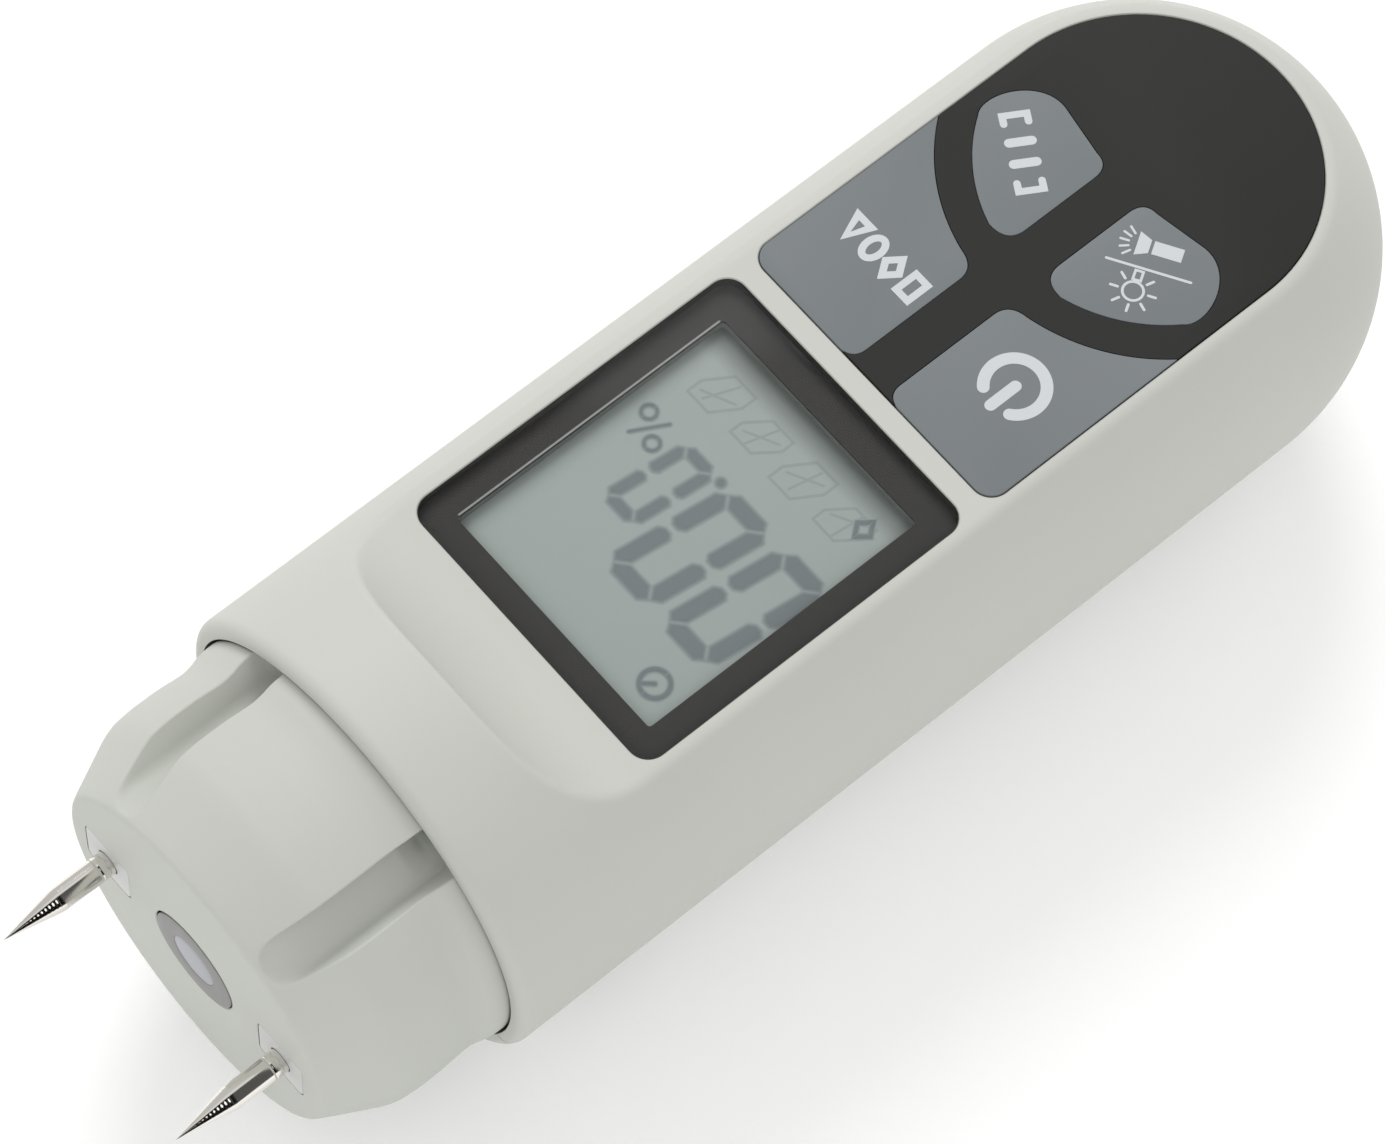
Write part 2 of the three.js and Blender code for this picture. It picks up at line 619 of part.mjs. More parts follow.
// A pan-head screw standing on its head, with a cross-shaped driver recess.
function makeScrew(x, y, headZ, seatZ, topZ, headRadius, shankRadius) {
  const profile = [
    [headZ, 0], [headZ, headRadius - 0.5], [headZ + 0.5, headRadius], [seatZ, headRadius],
    [seatZ, shankRadius], [topZ - 1, shankRadius], [topZ, 0.3], [topZ, 0],
  ];
  const arm = headRadius * 0.6;
  const half = headRadius * 0.13;
  const depth = (seatZ - headZ) * 0.55;
  const cross = [
    box(x - arm, x + arm, y - half, y + half, headZ - 1, headZ + depth),
    box(x - half, x + half, y - arm, y + arm, headZ - 1, headZ + depth),
  ];
  return without(turnedZ(profile, SMALL, x, y), cross);
}

// ---------------------------------------------------------------- battery, its snap and its door

const batteryFront = BATTERY.rear + BATTERY.length;
const TERMINAL = { pitch: 12.7, stud: 2.9, socket: 4, height: 2.1 };
const terminalZ = BATTERY.bottom + BATTERY.height / 2;

function makeBattery() {
  const { rear, half, bottom, height } = BATTERY;
  const section = roundedRectangle(-half, half, bottom, bottom + height, 2);
  const end = batteryFront + TERMINAL.height;
  return joined([
    slabX(section, rear, batteryFront),
    rodX(batteryFront - 1, end, TERMINAL.pitch / 2, terminalZ, TERMINAL.stud, SMALL),
    rodX(batteryFront - 1, end, -TERMINAL.pitch / 2, terminalZ, TERMINAL.socket, 6),
  ]);
}

// The snap is a soft plate that clips over the battery's two terminals.
function makeBatterySnap() {
  const x0 = batteryFront + 0.3;
  const section = roundedRectangle(-12.6, 12.6, terminalZ - 6, terminalZ + 6, 5);
  const room = x0 + TERMINAL.height + 0.1;
  return without(slabX(section, x0, x0 + 3.6), [
    rodX(x0 - 1, room, TERMINAL.pitch / 2, terminalZ, TERMINAL.stud + 0.4, SMALL),
    rodX(x0 - 1, room, -TERMINAL.pitch / 2, terminalZ, TERMINAL.socket + 0.5, SMALL),
  ]);
}

function makeBatteryPad() {
  return box(-106, -68, -8, 8, BATTERY.bottom + BATTERY.height + 0.05, BOX.top - 0.05);
}

// The door follows the barrel and its round rear end. A rail on each side runs in the wall's groove,
// a tab at the front edge goes in over the mouth's rim, and shallow grooves give a thumb grip.
function makeDoor() {
  const { front, half } = DOOR;
  const hollow = barrelCore(innerRadius + 0.2, LIP_X);
  const skin = box(-200, front, -half, half, -30, PARTING_Z - FIT).intersect(outer).subtract(hollow);
  const rails = [1, -1].map((side) => box(
    RAIL.rear, RAIL.front, side * (half - 0.6), side * (half + RAIL.reach), RAIL.bottom, RAIL.top,
  ));
  const tab = [
    box(TAB.rear, front - 0.6, -TAB.half, TAB.half, -innerRadius - 0.4, TAB.top),
    box(TAB.rear, TAB.front, -TAB.half, TAB.half, TAB.bottom, TAB.top),
  ];
  const grooves = [0, 1, 2, 3, 4].map((i) => {
    const x = -114 + i * 2.2;
    return box(x, x + 1, -6.5, 6.5, -BARREL_RADIUS - 1, -BARREL_RADIUS + 0.5);
  });
  return without(joined([skin, ...rails, ...tab]), grooves);
}

// ---------------------------------------------------------------- wiring

const WIRE_RADIUS = 0.6;

function makePinLead(side) {
  const y = side * pinY;
  return tube([
    [SOCKET.rear + 0.6, y, 0], [-22, y, 0.2], [-27, y - side * 2, 2.2], [-32.5, y - side * 5, 5],
    [-38, y - side * 6, 5.9], [-42, y - side * 6, boardBottom - 0.7],
  ], WIRE_RADIUS, 12);
}

function makeTorchLead(side) {
  return tube([
    [-14.3, side * 2, 0], [-19, side * 2, 0.4], [-25, side * 2.2, 3], [-32, side * 2, 5.6],
    [-38, side * 2, 5.9], [-42, side * 2, boardBottom - 0.7],
  ], WIRE_RADIUS, 12);
}

function makeBatteryLead(side) {
  return tube([
    [batteryFront + 4.8, side * 3, -5], [-54.5, side * 3, -4], [-49.5, side * 3, -3],
    [-45.5, side * 3.2, -0.5], [-44, side * 4, 3.5], [-46.5, side * 4.5, boardBottom - 1.6],
    [-50, side * 4.5, boardBottom - 0.75],
  ], WIRE_RADIUS, 14);
}

// ---------------------------------------------------------------- assembly

place('top_housing', makeTopHousing(), FINISH.shell);
place('bottom_housing', makeBottomHousing(), FINISH.shell);
place('nose_block', makeNose(), FINISH.nose);

CASE_SCREWS.forEach(({ x, y, seat }, i) => {
  const screw = makeScrew(x, y, seat - 2.1, seat - 0.1, SCREW_TOP_Z, 2.6, 1.15);
  place(`case_screw_${i + 1}`, screw, FINISH.steel);
});
BOARD_SCREW_SPOTS.forEach(([x, y], i) => {
  const seatZ = boardBottom - 0.1;
  const screw = makeScrew(x, y, seatZ - 1.3, seatZ, BOARD.top + 4, 1.7, 0.8);
  place(`board_screw_${i + 1}`, screw, FINISH.steel);
});

for (const [name, side] of pinSides) {
  place(`measuring_pin_${name}`, makePin(side), FINISH.nickel);
  place(`pin_insert_${name}`, makePinInsert(side), FINISH.insert);
  place(`pin_socket_${name}`, makeSocket(side), FINISH.brass);
  place(`pin_lead_${name}`, makePinLead(side), FINISH.white);
}

place('torch_bezel', makeTorchBezel(), FINISH.grey);
place('torch_lens', makeTorchLens(), FINISH.clear);
place('torch_led', makeTorchLed(), FINISH.clear);
place('torch_board', makeTorchBoard(), FINISH.board);
place('torch_lead_left', makeTorchLead(1), FINISH.red);
place('torch_lead_right', makeTorchLead(-1), FINISH.rubber);

place('display_window', makeDisplayWindow(), FINISH.clear);
place('window_border', makeWindowBorder(), FINISH.black);
place('lcd_panel', makeLcdPanel(), FINISH.glass);
place('lcd_frame', makeLcdFrame(), FINISH.white);
place('light_guide', makeLightGuide(), FINISH.clear);
place('zebra_strip_front', makeZebraStrip(LCD.front - 1.8), FINISH.rubber);
place('zebra_strip_rear', makeZebraStrip(LCD.rear + 1.8), FINISH.rubber);

place('keypad_overlay', makeKeypad(), FINISH.black);
for (const key of KEYS) {
  place(`key_${key.name}`, makeKey(key), FINISH.key);
  place(`switch_${key.name}`, makeSwitch(key), FINISH.chip);
  place(`switch_button_${key.name}`, makeSwitchButton(key), FINISH.chip);
}

place('main_board', makeMainBoard(), FINISH.board);
place('controller_chip', makeController(), FINISH.chip);
place('buzzer', makeBuzzer(), FINISH.chip);

place('battery', makeBattery(), FINISH.battery);
place('battery_snap', makeBatterySnap(), FINISH.rubber);
place('battery_pad', makeBatteryPad(), FINISH.foam);
place('battery_lead_red', makeBatteryLead(1), FINISH.red);
place('battery_lead_black', makeBatteryLead(-1), FINISH.rubber);
place('battery_door', makeDoor(), FINISH.shell);

const rearX = DOME_X - BARREL_RADIUS;
meter.position.set(-(PIN_LENGTH + rearX) / 2, 0, BARREL_RADIUS);

export default meter;
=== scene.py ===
"""Looks of a pin-type moisture meter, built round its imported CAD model.

Shapes are drawn in millimetres from the middle of the nose's front face, on the barrel's axis, with
+X towards the pins and +Z out of the display. row() turns them into the model's own frame, in metres.
"""
import json
import math
import bmesh
import bpy
import numpy as np
from mathutils import Matrix, Vector
from types import SimpleNamespace as Sizes


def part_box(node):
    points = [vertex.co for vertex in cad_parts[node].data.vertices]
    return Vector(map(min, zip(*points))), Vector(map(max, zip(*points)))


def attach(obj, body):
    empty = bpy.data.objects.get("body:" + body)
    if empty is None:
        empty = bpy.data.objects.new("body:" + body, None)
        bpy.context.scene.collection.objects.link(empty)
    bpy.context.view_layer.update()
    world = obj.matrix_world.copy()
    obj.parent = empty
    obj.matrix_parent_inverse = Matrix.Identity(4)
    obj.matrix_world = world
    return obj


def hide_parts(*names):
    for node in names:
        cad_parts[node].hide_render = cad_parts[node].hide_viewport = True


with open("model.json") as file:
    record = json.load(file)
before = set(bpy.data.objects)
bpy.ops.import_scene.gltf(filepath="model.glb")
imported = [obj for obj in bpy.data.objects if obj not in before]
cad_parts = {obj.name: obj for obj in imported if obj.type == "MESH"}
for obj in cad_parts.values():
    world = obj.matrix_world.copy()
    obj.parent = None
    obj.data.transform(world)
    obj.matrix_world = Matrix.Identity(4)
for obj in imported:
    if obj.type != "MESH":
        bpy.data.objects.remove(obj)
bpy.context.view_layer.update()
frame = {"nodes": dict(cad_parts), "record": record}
scene = bpy.context.scene
ROOT = "meter_body"
MM = 0.001

# ---- sizes

BARREL = 24.0
WALL = 2.0
DOME_X = -115.0
LIP_X = -18.8
LIP_ROUND = 1.2
DECK = 16.12
DECK_THICK = 2.2
SCOOP_X = -38.2
SCOOP = 10.0
CREASE = 0.5
PARTING = -9.0
FOOT = Sizes(front=-24.5, rear=-117.5, half=9.5, flare=1.4, edge=0.3, height=3, corner=2)
WINDOW = Sizes(front=-39.0, rear=-77.5, half=16.6, corner=2.0, top=DECK + 0.06, thick=1.2)
VIEW = Sizes(front=-42.1, rear=-74.15, half=13.55, corner=0.35)
KEYPAD = Sizes(front=-80.1, half=16.7, corner=2.0, round_x=-114.85, top=DECK + 0.05, thick=0.85)
KEY_TOP = KEYPAD.top + 0.02
LCD = Sizes(top=13.8, thick=2.2, front=-40.8, rear=-75.5, half=15.2)
# each case screw's place, its head's seat and the foot of its post
SCREWS = [(-34, 13, -16.5, -30), (-34, -13, -16.5, -30), (-119, 9, -14, -16.4), (-119, -9, -14, -16.4)]
DOOR = Sizes(front=-53.0, half=14.4, gap=0.25)
SHELF = Sizes(rear=-123, thick=3)
RAIL = Sizes(front=-55, rear=-112, reach=0.7, bottom=-17.7, top=-17.1)
GRIP = Sizes(rear=-113.5, pitch=2.2, count=5)
TAB = Sizes(front=-51, rear=-55.4, half=7, bottom=-20.3, top=-19.3)
CELL_BOX = Sizes(front=-50.0, rear=-111.5, half=14.2, top=0.6, wall=1.4)
LEAD_WAY = Sizes(half=6, bottom=-6, top=3)
CELL = Sizes(rear=-110.6, length=46.4, half=13.2, bottom=-17.2, height=17.4, corner=2.2)
PIN_Y = 12.5
PIN_RADIUS = 1.25
PIN_LENGTH = 12.06
PIN_CONE = 6.15
PIN_GAP = 0.12
POST = Sizes(upper=3, lower=3.8, pilot=1.45, clear=1.5, head=3, top=22)
STEM = Sizes(radius=2.4, low=13.7, hole=2.8, hole_top=15.5)
UNDER_DECK = 5
PARTING_GAP = 0.075
BORE = Sizes(front=5, radius=22.3, rib=-21.05, throat=20.8, rib_rear=-22.3, inside=-22.15)
# the gap round a piece let into the deck, and the chamfer at its mouth
FIT, MOUTH = 0.1, 0.12

# cutting tools reach past the part on every side
BEHIND, AHEAD, ASIDE, BELOW, ABOVE = -200, 50, 50, -30, 30
SIDES, FINE_SIDES, PIN_SIDES = 96, 160, 48
QUARTER = math.pi / 2

NOSE_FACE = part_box("nose_block")[1].x / MM
AXIS_Z = BARREL


def row(points):
    return (np.asarray(points, float) + (NOSE_FACE, 0.0, AXIS_Z)) * MM


def row_x(x):
    return x + NOSE_FACE


# ---- mesh tools

def mesh_object(name, points, faces):
    """A mesh object from points in millimetres, with its faces turned outwards."""
    mesh = bpy.data.meshes.new(name)
    mesh.from_pydata(row(points).tolist(), [], faces)
    shape = bmesh.new()
    shape.from_mesh(mesh)
    bmesh.ops.recalc_face_normals(shape, faces=shape.faces)
    shape.to_mesh(mesh)
    shape.free()
    made = bpy.data.objects.new(name, mesh)
    scene.collection.objects.link(made)
    return made


def loft(name, rings):
    """A closed solid through rings of the same number of points, capped at both ends."""
    count = len(rings[0])
    faces = [list(range(count))]
    for i in range(len(rings) - 1):
        a, b = i * count, (i + 1) * count
        faces += [[a + j, a + (j + 1) % count, b + (j + 1) % count, b + j] for j in range(count)]
    faces.append([(len(rings) - 1) * count + j for j in range(count)])
    return mesh_object(name, np.concatenate(rings), faces)


def turned(name, profile, y=0.0, z=0.0, sides=SIDES, axis="x"):
    """A profile of (place, radius) pairs turned round a line along X or Z; radius 0 closes an end."""
    points, rings, faces = [], [], []
    for place, radius in profile:
        if radius == 0:
            rings.append([len(points)])
            points.append((place, 0.0, 0.0))
            continue
        rings.append(list(range(len(points), len(points) + sides)))
        for j in range(sides):
            turn = 2 * math.pi * j / sides
            points.append((place, radius * math.sin(turn), radius * math.cos(turn)))
    for a, b in zip(rings, rings[1:]):
        for j in range(sides):
            k = (j + 1) % sides
            corners = [a[j % len(a)], a[k % len(a)], b[k % len(b)], b[j % len(b)]]
            faces.append(list(dict.fromkeys(corners)))
    faces += [ring for ring in (rings[0], rings[-1]) if len(ring) > 1]
    points = np.array(points)
    if axis == "z":
        points = points[:, [2, 1, 0]]
        return mesh_object(name, points + (y, z, 0.0), faces)
    return mesh_object(name, points + (0.0, y, z), faces)


def ring_turned(name, profile, z=0.0):
    """A closed profile that doesn't meet the axis, turned into a ring round a line along X."""
    count = len(profile)
    points, faces = [], []
    for j in range(SIDES):
        turn = 2 * math.pi * j / SIDES
        points += [(x, r * math.sin(turn), r * math.cos(turn) + z) for x, r in profile]
        a, b = j * count, ((j + 1) % SIDES) * count
        faces += [[a + i, a + (i + 1) % count, b + (i + 1) % count, b + i] for i in range(count)]
    return mesh_object(name, points, faces)


def block(x0, x1, y0, y1, z0, z1):
    ring = [(x0, y0), (x1, y0), (x1, y1), (x0, y1)]
    return loft("block", [flat(ring, z0), flat(ring, z1)])


def rod_z(x, y, z0, z1, radius):
    return turned("rod", [(z0, radius), (z1, radius)], x, y, 32, axis="z")


def rod_x(x0, x1, y, z, radius, sides=SIDES):
    return turned("rod", [(x0, radius), (x1, radius)], y, z, sides)


def carve(target, tools, operation="DIFFERENCE"):
    """Cuts the tools from the target, or joins or intersects them, and removes the tools."""
    for tool in tools:
        step = target.modifiers.new("carve", "BOOLEAN")
        step.operation = operation
        step.object = tool
        step.solver = "MANIFOLD"
    depsgraph = bpy.context.evaluated_depsgraph_get()
    result = bpy.data.meshes.new_from_object(target.evaluated_get(depsgraph))
    target.modifiers.clear()
    target.data = result
    for tool in tools:
        bpy.data.objects.remove(tool)
    return target


def copied(target, name):
    twin = bpy.data.objects.new(name, target.data.copy())
    scene.collection.objects.link(twin)
    return twin


def finished(target, name, material, body=ROOT, replaces=(), sharp=32):
    """Names a piece, smooths it, gives it its material and hangs it on its body."""
    target.name = name
    target.data.name = name
    target.data.materials.clear()
    target.data.materials.append(material)
    for face in target.data.polygons:
        face.material_index = 0
        face.use_smooth = True
    target.data.set_sharp_from_angle(angle=math.radians(sharp))
    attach(target, body)
    if replaces:
        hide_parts(*replaces)
    return target


# ---- outlines

TOGETHER = 1e-3


class Outline:
    """An outline in X and Y, drawn with lines, arcs and curves."""

    def __init__(self, x, y):
        self.points = [(x, y)]

    def line(self, x, y):
        self.points.append((x, y))
        return self

    def arc(self, cx, cy, radius, start, end, steps=12):
        for t in np.linspace(start, end, steps + 1):
            self.points.append((cx + radius * math.cos(t), cy + radius * math.sin(t)))
        return self

    def curve(self, *control, steps=12):
        nodes = np.array([self.points[-1], *control])
        for t in np.linspace(0, 1, steps + 1)[1:]:
            level = nodes
            while len(level) > 1:
                level = level[:-1] * (1 - t) + level[1:] * t
            self.points.append(tuple(level[0]))
        return self

    def done(self):
        """The points as an array, without those that fall together."""
        kept = [self.points[0]]
        for point in self.points[1:]:
            if math.dist(point, kept[-1]) > TOGETHER:
                kept.append(point)
        if math.dist(kept[0], kept[-1]) < TOGETHER:
            kept.pop()
        return np.array(kept)


def flat(outline, z):
    outline = np.asarray(outline, float)
    return np.column_stack([outline, np.full(len(outline), z)])


def offset(outline, distance):
    """The outline moved outwards along its corners' mean directions."""
    outline = np.asarray(outline, float)
    after = np.roll(outline, -1, axis=0) - outline
    after /= np.linalg.norm(after, axis=1)[:, None]
    before = np.roll(after, 1, axis=0)
    area = np.sum(outline[:, 0] * np.roll(outline[:, 1], -1) - np.roll(outline[:, 0], -1) * outline[:, 1])
    normal = np.column_stack([after[:, 1] + before[:, 1], -after[:, 0] - before[:, 0]])
    normal /= np.maximum(np.sum(normal ** 2, axis=1) / 2, 0.4)[:, None]
    return outline + normal * distance * math.copysign(1.0, area)


def rounded_rectangle(x0, x1, y0, y1, corner, steps=10):
    shape = Outline(x0 + corner, y0)
    shape.arc(x1 - corner, y0 + corner, corner, -QUARTER, 0, steps)
    shape.arc(x1 - corner, y1 - corner, corner, 0, QUARTER, steps)
    shape.arc(x0 + corner, y1 - corner, corner, QUARTER, 2 * QUARTER, steps)
    shape.arc(x0 + corner, y0 + corner, corner, 2 * QUARTER, 3 * QUARTER, steps)
    return shape.done()


def slab(name, outline, z0, z1, edge=0.0):
    """An outline standing from z0 to z1, with its top edge rounded."""
    rings = [flat(outline, z0)]
    if edge:
        for turn in np.linspace(0, QUARTER, 4):
            inwards = edge * (1 - math.cos(turn))
            rings.append(flat(offset(outline, -inwards), z1 - edge + edge * math.sin(turn)))
    else:
        rings.append(flat(outline, z1))
    return loft(name, rings)


def loft_along_x(section, levels, y=0.0):
    """A section in Y and Z carried along X, through levels of (x, how far inwards)."""
    rings = []
    for x, inwards in levels:
        ring = offset(section, -inwards)
        rings.append(np.column_stack([np.full(len(ring), x), ring[:, 0] + y, ring[:, 1]]))
    return loft("section", rings)


def pocket(outline, z0):
    """The tool for a recess that opens at the deck, with a small chamfer round its mouth."""
    deep, wide = offset(outline, FIT), offset(outline, FIT + MOUTH)
    return loft("pocket", [flat(deep, z0), flat(deep, DECK - MOUTH), flat(wide, DECK), flat(wide, ABOVE)])


def outline_of(size, steps=10):
    return rounded_rectangle(size.rear, size.front, -size.half, size.half, size.corner, steps)


def keypad_outline():
    k, half, corner = KEYPAD, KEYPAD.half, KEYPAD.corner
    shape = Outline(k.round_x, -half)
    shape.arc(k.front - corner, -half + corner, corner, -QUARTER, 0)
    shape.arc(k.front - corner, half - corner, corner, 0, QUARTER)
    shape.arc(k.round_x, 0, half, QUARTER, 3 * QUARTER, 64)
    return shape.done()


# both rows of keys end on arcs about one centre; a stem of film runs between the two sides
KEY_ARC_X, KEY_ARC_OUTER, KEY_ARC_INNER, STEM_HALF = -116.0, 20.9, 17.3, 2.4
FRONT_KEY = Sizes(bend=2.2, corner=1.6)
REAR_KEY = Sizes(rear=-112.3, bend=2.6, widest=14.3, corner=2)


def key_outline(row_name, reach=0.0):
    """A key on the +Y side. reach carries a front key's outer edges past the keypad's."""
    s = STEM_HALF
    if row_name == "front":
        half, front, corner = KEYPAD.half + reach, KEYPAD.front + reach, KEYPAD.corner
        bend, inner = FRONT_KEY.bend, FRONT_KEY.corner
        start = math.asin((s + bend) / KEY_ARC_OUTER)
        end = math.asin(half / KEY_ARC_OUTER)
        turn_x = KEY_ARC_X + KEY_ARC_OUTER * math.cos(start)
        shape = Outline(front, s + inner)
        shape.arc(front - corner, half - corner, corner, 0, QUARTER)
        shape.arc(KEY_ARC_X, 0, KEY_ARC_OUTER, end, start, 40)
        shape.curve((turn_x + 0.3, s), (turn_x + bend, s))
        shape.line(KEYPAD.front - 1.8, s)
        shape.curve((KEYPAD.front - 0.2, s), (KEYPAD.front, s + inner))
        return shape.done()
    rear, bend, corner = REAR_KEY.rear, REAR_KEY.bend, REAR_KEY.corner
    start = math.asin((s + bend) / KEY_ARC_INNER)
    end = math.asin(REAR_KEY.widest / KEY_ARC_INNER)
    nose_x = KEY_ARC_X + KEY_ARC_INNER * math.cos(start)
    tip_x = KEY_ARC_X + KEY_ARC_INNER * math.cos(end)
    shape = Outline(rear + corner, s)
    shape.line(nose_x - 2.2, s)
    shape.curve((nose_x + 0.1, s), (nose_x, s + bend))
    shape.arc(KEY_ARC_X, 0, KEY_ARC_INNER, start, end, 32)
    shape.curve((tip_x - 1.7, 16.1), (rear - 1.4, 13.8), (rear - 1, 9.8), steps=24)
    shape.line(rear, s + 1.8)
    shape.curve((rear, s), (rear + corner, s))
    return shape.done()


def on_side(outline, side):
    return outline if side > 0 else (outline * (1, -1))[::-1]


# each key's row, its side and its stem's middle
KEYS = {
    "power": ("front", 1, (-89.8, 9.3)),
    "mode": ("front", -1, (-89.8, -9.3)),
    "light": ("rear", 1, (-106.2, 7.6)),
    "hold": ("rear", -1, (-106.2, -7.6)),
}


# ---- materials

SLOW_DETAIL, FINE_DETAIL = 4, 2
# painted crevice shade: how far it looks for walls, and the openness at which it is darkest and not dark at
# all
CREVICE_SHADE = Sizes(reach=3.5, darkest=0.12, open=0.45, samples=8)
# the display's shaded edges: an axis, the dark and the light end, and the darkest factor
LCD_SHADE = (("X", -73.7, -70.7, 0.48), ("Y", -13.4, -10.9, 0.78))


def added(tree, kind, **values):
    """A new shader node, with values for its sockets."""
    node = tree.nodes.new("ShaderNode" + kind)
    for socket, value in values.items():
        node.inputs[socket].default_value = value
    return node


def multiplied(tree, colour, factor):
    """A colour multiplied by a factor."""
    shade = added(tree, "Mix")
    shade.data_type = "RGBA"
    shade.blend_type = "MULTIPLY"
    shade.inputs["Factor"].default_value = 1.0
    tree.links.new(colour, shade.inputs["A"])
    tree.links.new(factor, shade.inputs["B"])
    return shade.outputs["Result"]


def carried_over(tree, value, before, after, smooth=False):
    """A value carried over from one range to another, linearly or with soft ends."""
    node = added(tree, "MapRange")
    if smooth:
        node.interpolation_type = "SMOOTHSTEP"
    for socket, number in zip(("From Min", "From Max", "To Min", "To Max"), (*before, *after)):
        node.inputs[socket].default_value = number
    tree.links.new(value, node.inputs["Value"])
    return node.outputs["Result"]


def noise(tree, scale, detail):
    """Noise over the piece's own coordinates, from 0 to 1."""
    node = added(tree, "TexNoise", Scale=scale, Detail=detail)
    tree.links.new(added(tree, "TexCoord").outputs["Object"], node.inputs["Vector"])
    return node.outputs["Fac"]


def raised(tree, height, strength, depth):
    """The normal of a surface with relief of the given depth in millimetres."""
    node = added(tree, "Bump", Strength=strength, Distance=depth * MM)
    tree.links.new(height, node.inputs["Height"])
    return node.outputs["Normal"]


def calculated(tree, operation, *values):
    """The result of arithmetic on sockets and plain numbers."""
    node = added(tree, "Math")
    node.operation = operation
    for socket, value in zip(node.inputs, values):
        if isinstance(value, float):
            socket.default_value = value
        else:
            tree.links.new(value, socket)
    return node.outputs["Value"]


def material(name, colour, rough, metal=0.0, grain=900, bump=0.05, depth=0.02, tint=0.03,
             spread=0.06, patch=60, crevice_shade=1.0, shine=0.5, **sockets):
    """A procedural surface: fine grain as bump, and slow changes of colour and roughness.

    grain is the bump's frequency per metre, bump its strength and depth its height in millimetres.
    tint and spread are how far colour and roughness wander, over patches of 1/patch metres.
    crevice_shade is how much of the colour is left in narrow gaps as painted shade, shine the strength of
    reflections.
    """
    made = bpy.data.materials.new(name)
    made.use_nodes = True
    tree = made.node_tree
    shader = tree.nodes["Principled BSDF"]
    slow = noise(tree, patch, SLOW_DETAIL)
    ramp = added(tree, "ValToRGB")
    for stop, position, sign in zip(ramp.color_ramp.elements, (0.25, 0.75), (-1, 1)):
        stop.position = position
        stop.color = [min(1.0, c * (1 + sign * tint)) for c in colour] + [1.0]
    link = tree.links.new
    link(slow, ramp.inputs["Fac"])
    gloss = carried_over(tree, slow, (0, 1), (max(0.02, rough - spread), min(1.0, rough + spread)))
    link(gloss, shader.inputs["Roughness"])
    link(raised(tree, noise(tree, grain, FINE_DETAIL), bump, depth), shader.inputs["Normal"])
    colour_out = ramp.outputs["Color"]
    if crevice_shade < 1.0:
        # painted shade: ambient occlusion darkens the base colour in narrow gaps and recesses
        near = added(tree, "AmbientOcclusion", Distance=CREVICE_SHADE.reach * MM)
        near.samples = CREVICE_SHADE.samples
        painted_shade = carried_over(tree, near.outputs["AO"], (CREVICE_SHADE.darkest, CREVICE_SHADE.open), (crevice_shade, 1.0))
        colour_out = multiplied(tree, colour_out, painted_shade)
    link(colour_out, shader.inputs["Base Color"])
    for socket, value in {"Metallic": metal, "Specular IOR Level": shine, **sockets}.items():
        shader.inputs[socket.replace("_", " ")].default_value = value
    return made


def lcd_material(name, colour):
    """A glassy print of the display; it darkens towards the two edges that the frame shades."""
    made = material(name, grey(colour), 0.4, grain=700, bump=0.02, tint=0.012, shine=0.25)
    tree = made.node_tree
    shader = tree.nodes["Principled BSDF"]
    split = added(tree, "SeparateXYZ")
    tree.links.new(added(tree, "TexCoord").outputs["Object"], split.inputs["Vector"])
    colour_in = shader.inputs["Base Color"].links[0].from_socket
    for axis, dark, light, low in LCD_SHADE:
        edge = [(row_x(v) if axis == "X" else v) * MM for v in (dark, light)]
        fade = carried_over(tree, split.outputs[axis], edge, (low, 1.0), smooth=True)
        colour_in = multiplied(tree, colour_in, fade)
    tree.links.new(colour_in, shader.inputs["Base Color"])
    return made


def clear_sheet(name):
    """A thin clear pane: it lets light straight through and adds a faint gloss."""
    made = bpy.data.materials.new(name)
    made.use_nodes = True
    tree = made.node_tree
    tree.nodes.remove(tree.nodes["Principled BSDF"])
    through = added(tree, "BsdfTransparent", Color=(1, 1, 1, 1))
    gloss = added(tree, "BsdfGlossy")
    edge = added(tree, "Fresnel", IOR=1.25)
    both = added(tree, "MixShader")
    wave = noise(tree, 400, FINE_DETAIL)
    link = tree.links.new
    link(raised(tree, wave, 0.02, 0.01), gloss.inputs["Normal"])
    link(carried_over(tree, wave, (0, 1), (0.08, 0.16)), gloss.inputs["Roughness"])
    link(calculated(tree, "MULTIPLY", edge.outputs["Fac"], 0.3), both.inputs["Fac"])
    link(through.outputs["BSDF"], both.inputs[1])
    link(gloss.outputs["BSDF"], both.inputs[2])
    link(both.outputs["Shader"], tree.nodes["Material Output"].inputs["Surface"])
    return made


def grey(value):
    """The linear value of a grey or colour given in display values of 0 to 255."""
    values = np.atleast_1d(np.asarray(value, float)) / 255
    linear = np.where(values <= 0.04045, values / 12.92, ((values + 0.055) / 1.055) ** 2.4)
    return tuple(linear) if len(linear) == 3 else (linear[0],) * 3


# the shell and the nose get painted shade in their gaps; the nose's is deepest, to darken its slots' rear
# ends under the lip
SHELL = material("shell_plastic", grey((194, 195, 188)), 0.55, grain=2600, bump=0.25, tint=0.012,
                 crevice_shade=0.45, shine=0.35)
NOSE = material("nose_plastic", grey((192, 194, 187)), 0.6, grain=1800, bump=0.12, tint=0.012,
                crevice_shade=0.05, shine=0.3)
INSERT = material("insert_plastic", grey((196, 197, 194)), 0.4, grain=1500, bump=0.1, tint=0.01)
FILM = material("black_film", grey((46, 46, 45)), 0.6, grain=2200, bump=0.3, depth=0.015, tint=0.04,
                shine=0.15)
BORDER = material("border_ink", grey((60, 59, 58)), 0.6, shine=0.15)
KEY = material("key_film", grey((117, 122, 125)), 0.55, grain=2200, bump=0.25, depth=0.015, tint=0.02,
               shine=0.25)
